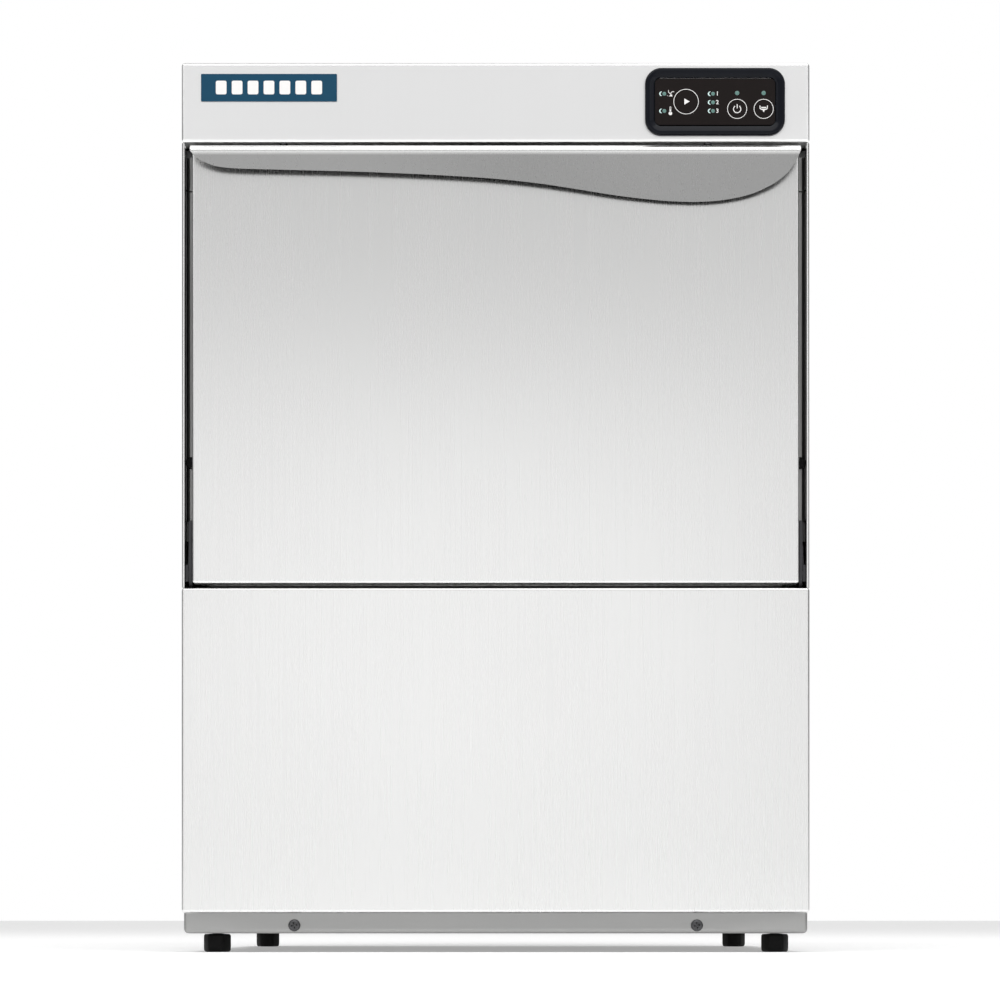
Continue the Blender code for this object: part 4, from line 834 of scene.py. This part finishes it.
def make_jambs():
    """Each side's door jamb: a steel channel in two lengths, its seal, an outer leg painted dark as shade
    in the gap, and a fixing.
    """
    frame_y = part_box("front_frame")[0].y
    back = frame_y - 0.3 * MM
    lengths = (("lower", JAMB_BOTTOM, SEAM_Z - HALF_SEAM), ("upper", SEAM_Z + HALF_SEAM, JAMB_TOP))
    fixing = [(radius * MM, height * MM) for radius, height in FIXING_PROFILE]
    for side, sign in SIDES:
        for part, low, high in lengths:
            upright(f"jamb_inner_{part}_{side}", sign, JAMB_INNER_X, (back, frame_y - 7 * MM), (low, high),
                    FRAME_STEEL)
            upright(f"jamb_outer_{part}_{side}", sign, JAMB_OUTER_X, (back, frame_y - 11 * MM), (low, high),
                    FRAME_STEEL_PAINTED_SHADE)
        upright("jamb_seal_" + side, sign, JAMB_SEAL_X, (back, frame_y - 5 * MM), (JAMB_BOTTOM, JAMB_TOP),
                RUBBER, 0.6 * MM)
        bm = turned(fixing, (sign * FIXING_X, frame_y - 11 * MM, FIXING_Z), -Y, 32)
        name = "jamb_fixing_" + side
        finish(name, mesh_of(name, bm), BLACK_PLASTIC, "cabinet")


# ---------------------------------------------------------------- the CAD nodes that stay
DRESS = {
    BRUSHED: ("side_panel_left", "side_panel_right", "door_outer_skin", "lower_front_panel"),
    BRUSHED_FASCIA: ("control_fascia",),
    BRUSHED_FLAT: ("top_cover",),
    BASE_STEEL_PAINTED_SHADE: ("base_tray",),
    CHAMBER_STEEL: (
        "chamber_hood", "wash_tank", "door_inner_skin", "rack_rail_left", "rack_rail_right",
        "lower_wash_arm", "lower_rinse_arm", "upper_wash_arm", "upper_rinse_arm", "riser_pipe", "boiler",
    ),
    # painted shade: the front frame, dark as the gap beside the door
    FRAME_STEEL_PAINTED_SHADE: ("front_frame",),
    FILTER_STEEL: ("tank_filter", "sump_filter"),
    ZINC: ("back_panel",),
    ZINC_DARK: ("hinge_arm_left", "hinge_arm_right", "hinge_bracket_left", "hinge_bracket_right"),
    SHAFT_STEEL: ("tank_heater", "door_spring_left", "door_spring_right"),
    BRASS: ("boiler_heater",),
    MOTOR_PAINT: ("wash_pump_motor",),
    CASTING: ("drain_pump",),
    GREY_PLASTIC: (
        "wash_pump_volute", "lower_arm_post", "upper_arm_post", "lower_arm_nut", "upper_arm_nut",
        "water_inlet_valve", "drain_outlet",
    ),
    BLACK_PLASTIC: ("rinse_aid_dispenser", "cable_gland", "wash_pump_impeller"),
    FILM: BUTTONS,
    BOARD_GREEN: ("control_board",),
    RUBBER: ("door_gasket", "suction_elbow", "feed_pipe"),
}


def dress_nodes():
    """Gives every CAD node that stays its material."""
    for material, nodes in DRESS.items():
        for node in nodes:
            dress(node, material)


# ---------------------------------------------------------------- stage, light and camera
FLOOR_HALF_SIZE = 40
FLOOR_GLOW = 0.25  # the paint's own light, which keeps the floor near white and the shadow on it pale


def make_floor():
    """A plain pale floor. It casts no shadow, so that it doesn't block the world's light from below."""
    bm = bmesh.new()
    bmesh.ops.create_grid(bm, x_segments=1, y_segments=1, size=FLOOR_HALF_SIZE)
    floor = bpy.data.objects.new("floor", mesh_of("floor", bm))
    bpy.context.scene.collection.objects.link(floor)
    surface = Surface("floor_paint", (0.88, 0.88, 0.88), 0.7)
    surface.tint(surface.spread(surface.noise(0.8, 3.0), 0.0, 0.05), (0.86, 0.86, 0.86))
    surface.shader.inputs["Emission Color"].default_value = (1, 1, 1, 1)
    surface.shader.inputs["Emission Strength"].default_value = FLOOR_GLOW
    floor.data.materials.append(surface.material)
    floor.visible_shadow = False


WORLD_FRONT, WORLD_REAR = 0.60, 0.42
SIDE_SHARE = 0.40  # how much of that level is left at the sides
WORLD_OVERHEAD = 1.30  # towards the front; further back it falls to the rear's level
WORLD_BELOW, WORLD_FLOOR = 0.90, 1.20  # just under the horizon, and straight down


def make_world():
    """A white studio: brightest overhead and to the front, dimmer at the sides and the rear.

    It is plain white where the camera sees it directly.
    """
    world = bpy.data.worlds.new("studio")
    bpy.context.scene.world = world
    world.use_nodes = True
    tree = world.node_tree
    tree.nodes.clear()

    def ranged(source, start, end, low, high):
        node = tree.nodes.new("ShaderNodeMapRange")
        node.interpolation_type = "SMOOTHSTEP"
        for socket, value in (("From Min", start), ("From Max", end), ("To Min", low), ("To Max", high)):
            node.inputs[socket].default_value = value
        tree.links.new(source, node.inputs["Value"])
        return node.outputs[0]

    def combine(first, second, operation):
        node = tree.nodes.new("ShaderNodeMath")
        node.operation = operation
        for socket, value in zip(node.inputs, (first, second)):
            if isinstance(value, float):
                socket.default_value = value
            else:
                tree.links.new(value, socket)
        return node.outputs[0]

    def mix(share, first, second):
        """Goes from first to second as share goes from 0 to 1."""
        kept = combine(combine(1.0, share, "SUBTRACT"), first, "MULTIPLY")
        return combine(kept, combine(share, second, "MULTIPLY"), "ADD")

    split = tree.nodes.new("ShaderNodeSeparateXYZ")
    tree.links.new(tree.nodes.new("ShaderNodeTexCoord").outputs["Generated"], split.inputs[0])
    x, y, z = (split.outputs[axis] for axis in "XYZ")
    frontal = ranged(y, -0.75, 0.35, WORLD_FRONT, WORLD_REAR)
    flank = ranged(combine(x, x, "MULTIPLY"), 0.20, 0.55, 1.0, SIDE_SHARE)
    overhead = ranged(y, -0.30, -0.05, WORLD_OVERHEAD, WORLD_REAR)
    sky = mix(ranged(z, 0.30, 0.75, 0.0, 1.0), combine(frontal, flank, "MULTIPLY"), overhead)
    ground = ranged(z, -0.75, -0.45, WORLD_FLOOR, WORLD_BELOW)
    lit = mix(ranged(z, -0.12, 0.0, 0.0, 1.0), ground, sky)
    seen = tree.nodes.new("ShaderNodeLightPath").outputs["Is Camera Ray"]
    strength = mix(seen, lit, 1.0)
    background = tree.nodes.new("ShaderNodeBackground")
    background.inputs["Color"].default_value = (1, 1, 1, 1)
    tree.links.new(strength, background.inputs["Strength"])
    tree.links.new(background.outputs[0], tree.nodes.new("ShaderNodeOutputWorld").inputs["Surface"])


def area_light(name, position, target, size, radiance):
    """A softbox. Radiance is how bright its face looks, so a softbox of any size can be compared."""
    light = bpy.data.lights.new(name, "AREA")
    light.shape = "RECTANGLE"
    light.size, light.size_y = size
    light.energy = radiance * size[0] * size[1] * math.pi
    obj = bpy.data.objects.new(name, light)
    bpy.context.scene.collection.objects.link(obj)
    obj.location = position
    obj.rotation_euler = (Vector(target) - Vector(position)).to_track_quat("-Z", "Y").to_euler()
    obj.visible_camera = False
    return obj


LIGHTS = {  # position, target, size and radiance
    "low_front_box": ((-0.41, -8.285, 1.28), (-0.41, 0, 1.28), (4.02, 2.06), 0.61),
    "left_box": ((-2.6, -2.6, 1.1), (0, 0, 0.45), (1.8, 2.2), 0.7),
    "right_box": ((2.6, -2.6, 1.1), (0, 0, 0.45), (1.8, 2.2), 0.8),
    "top_box": ((0, -1.60, 2.6), (0, -1.60, 0), (2.6, 2.1), 1.3),
    "floor_fill": ((0, 0, 2.8), (0, 0, 0), (3.2, 3.2), 0.95),
}
CAMERA_X, CAMERA_DISTANCE, CAMERA_HEIGHT = 0.028, 2.45, 0.032
LENS_MM, SENSOR_MM = 92.37, 36
SHIFT_X, SHIFT_Y = -0.0249, 0.4189


def make_lights():
    """The softboxes. The one that fills the floor doesn't show in reflections."""
    boxes = {name: area_light(name, *settings) for name, settings in LIGHTS.items()}
    boxes["floor_fill"].visible_glossy = False


def make_camera():
    """A level camera close to the floor, shifted upwards so that the uprights stay parallel."""
    camera = bpy.data.cameras.new("camera")
    camera.lens = LENS_MM
    camera.sensor_width = SENSOR_MM
    camera.shift_x = SHIFT_X
    camera.shift_y = SHIFT_Y
    obj = bpy.data.objects.new("camera", camera)
    bpy.context.scene.collection.objects.link(obj)
    obj.location = (CAMERA_X, FRONT_Y - CAMERA_DISTANCE, CAMERA_HEIGHT)
    obj.rotation_euler = (math.radians(90), 0, 0)
    bpy.context.scene.camera = obj
    bpy.context.scene.view_settings.view_transform = "Standard"


dress_nodes()
make_handle()
make_bezel()
make_film()
make_prints()
make_indicators()
make_badge()
for row in ("front", "rear"):
    for side, _ in SIDES:
        make_foot(f"foot_{row}_{side}")
make_screws()
make_back_screws()
make_jambs()
make_floor()
make_world()
make_lights()
make_camera()
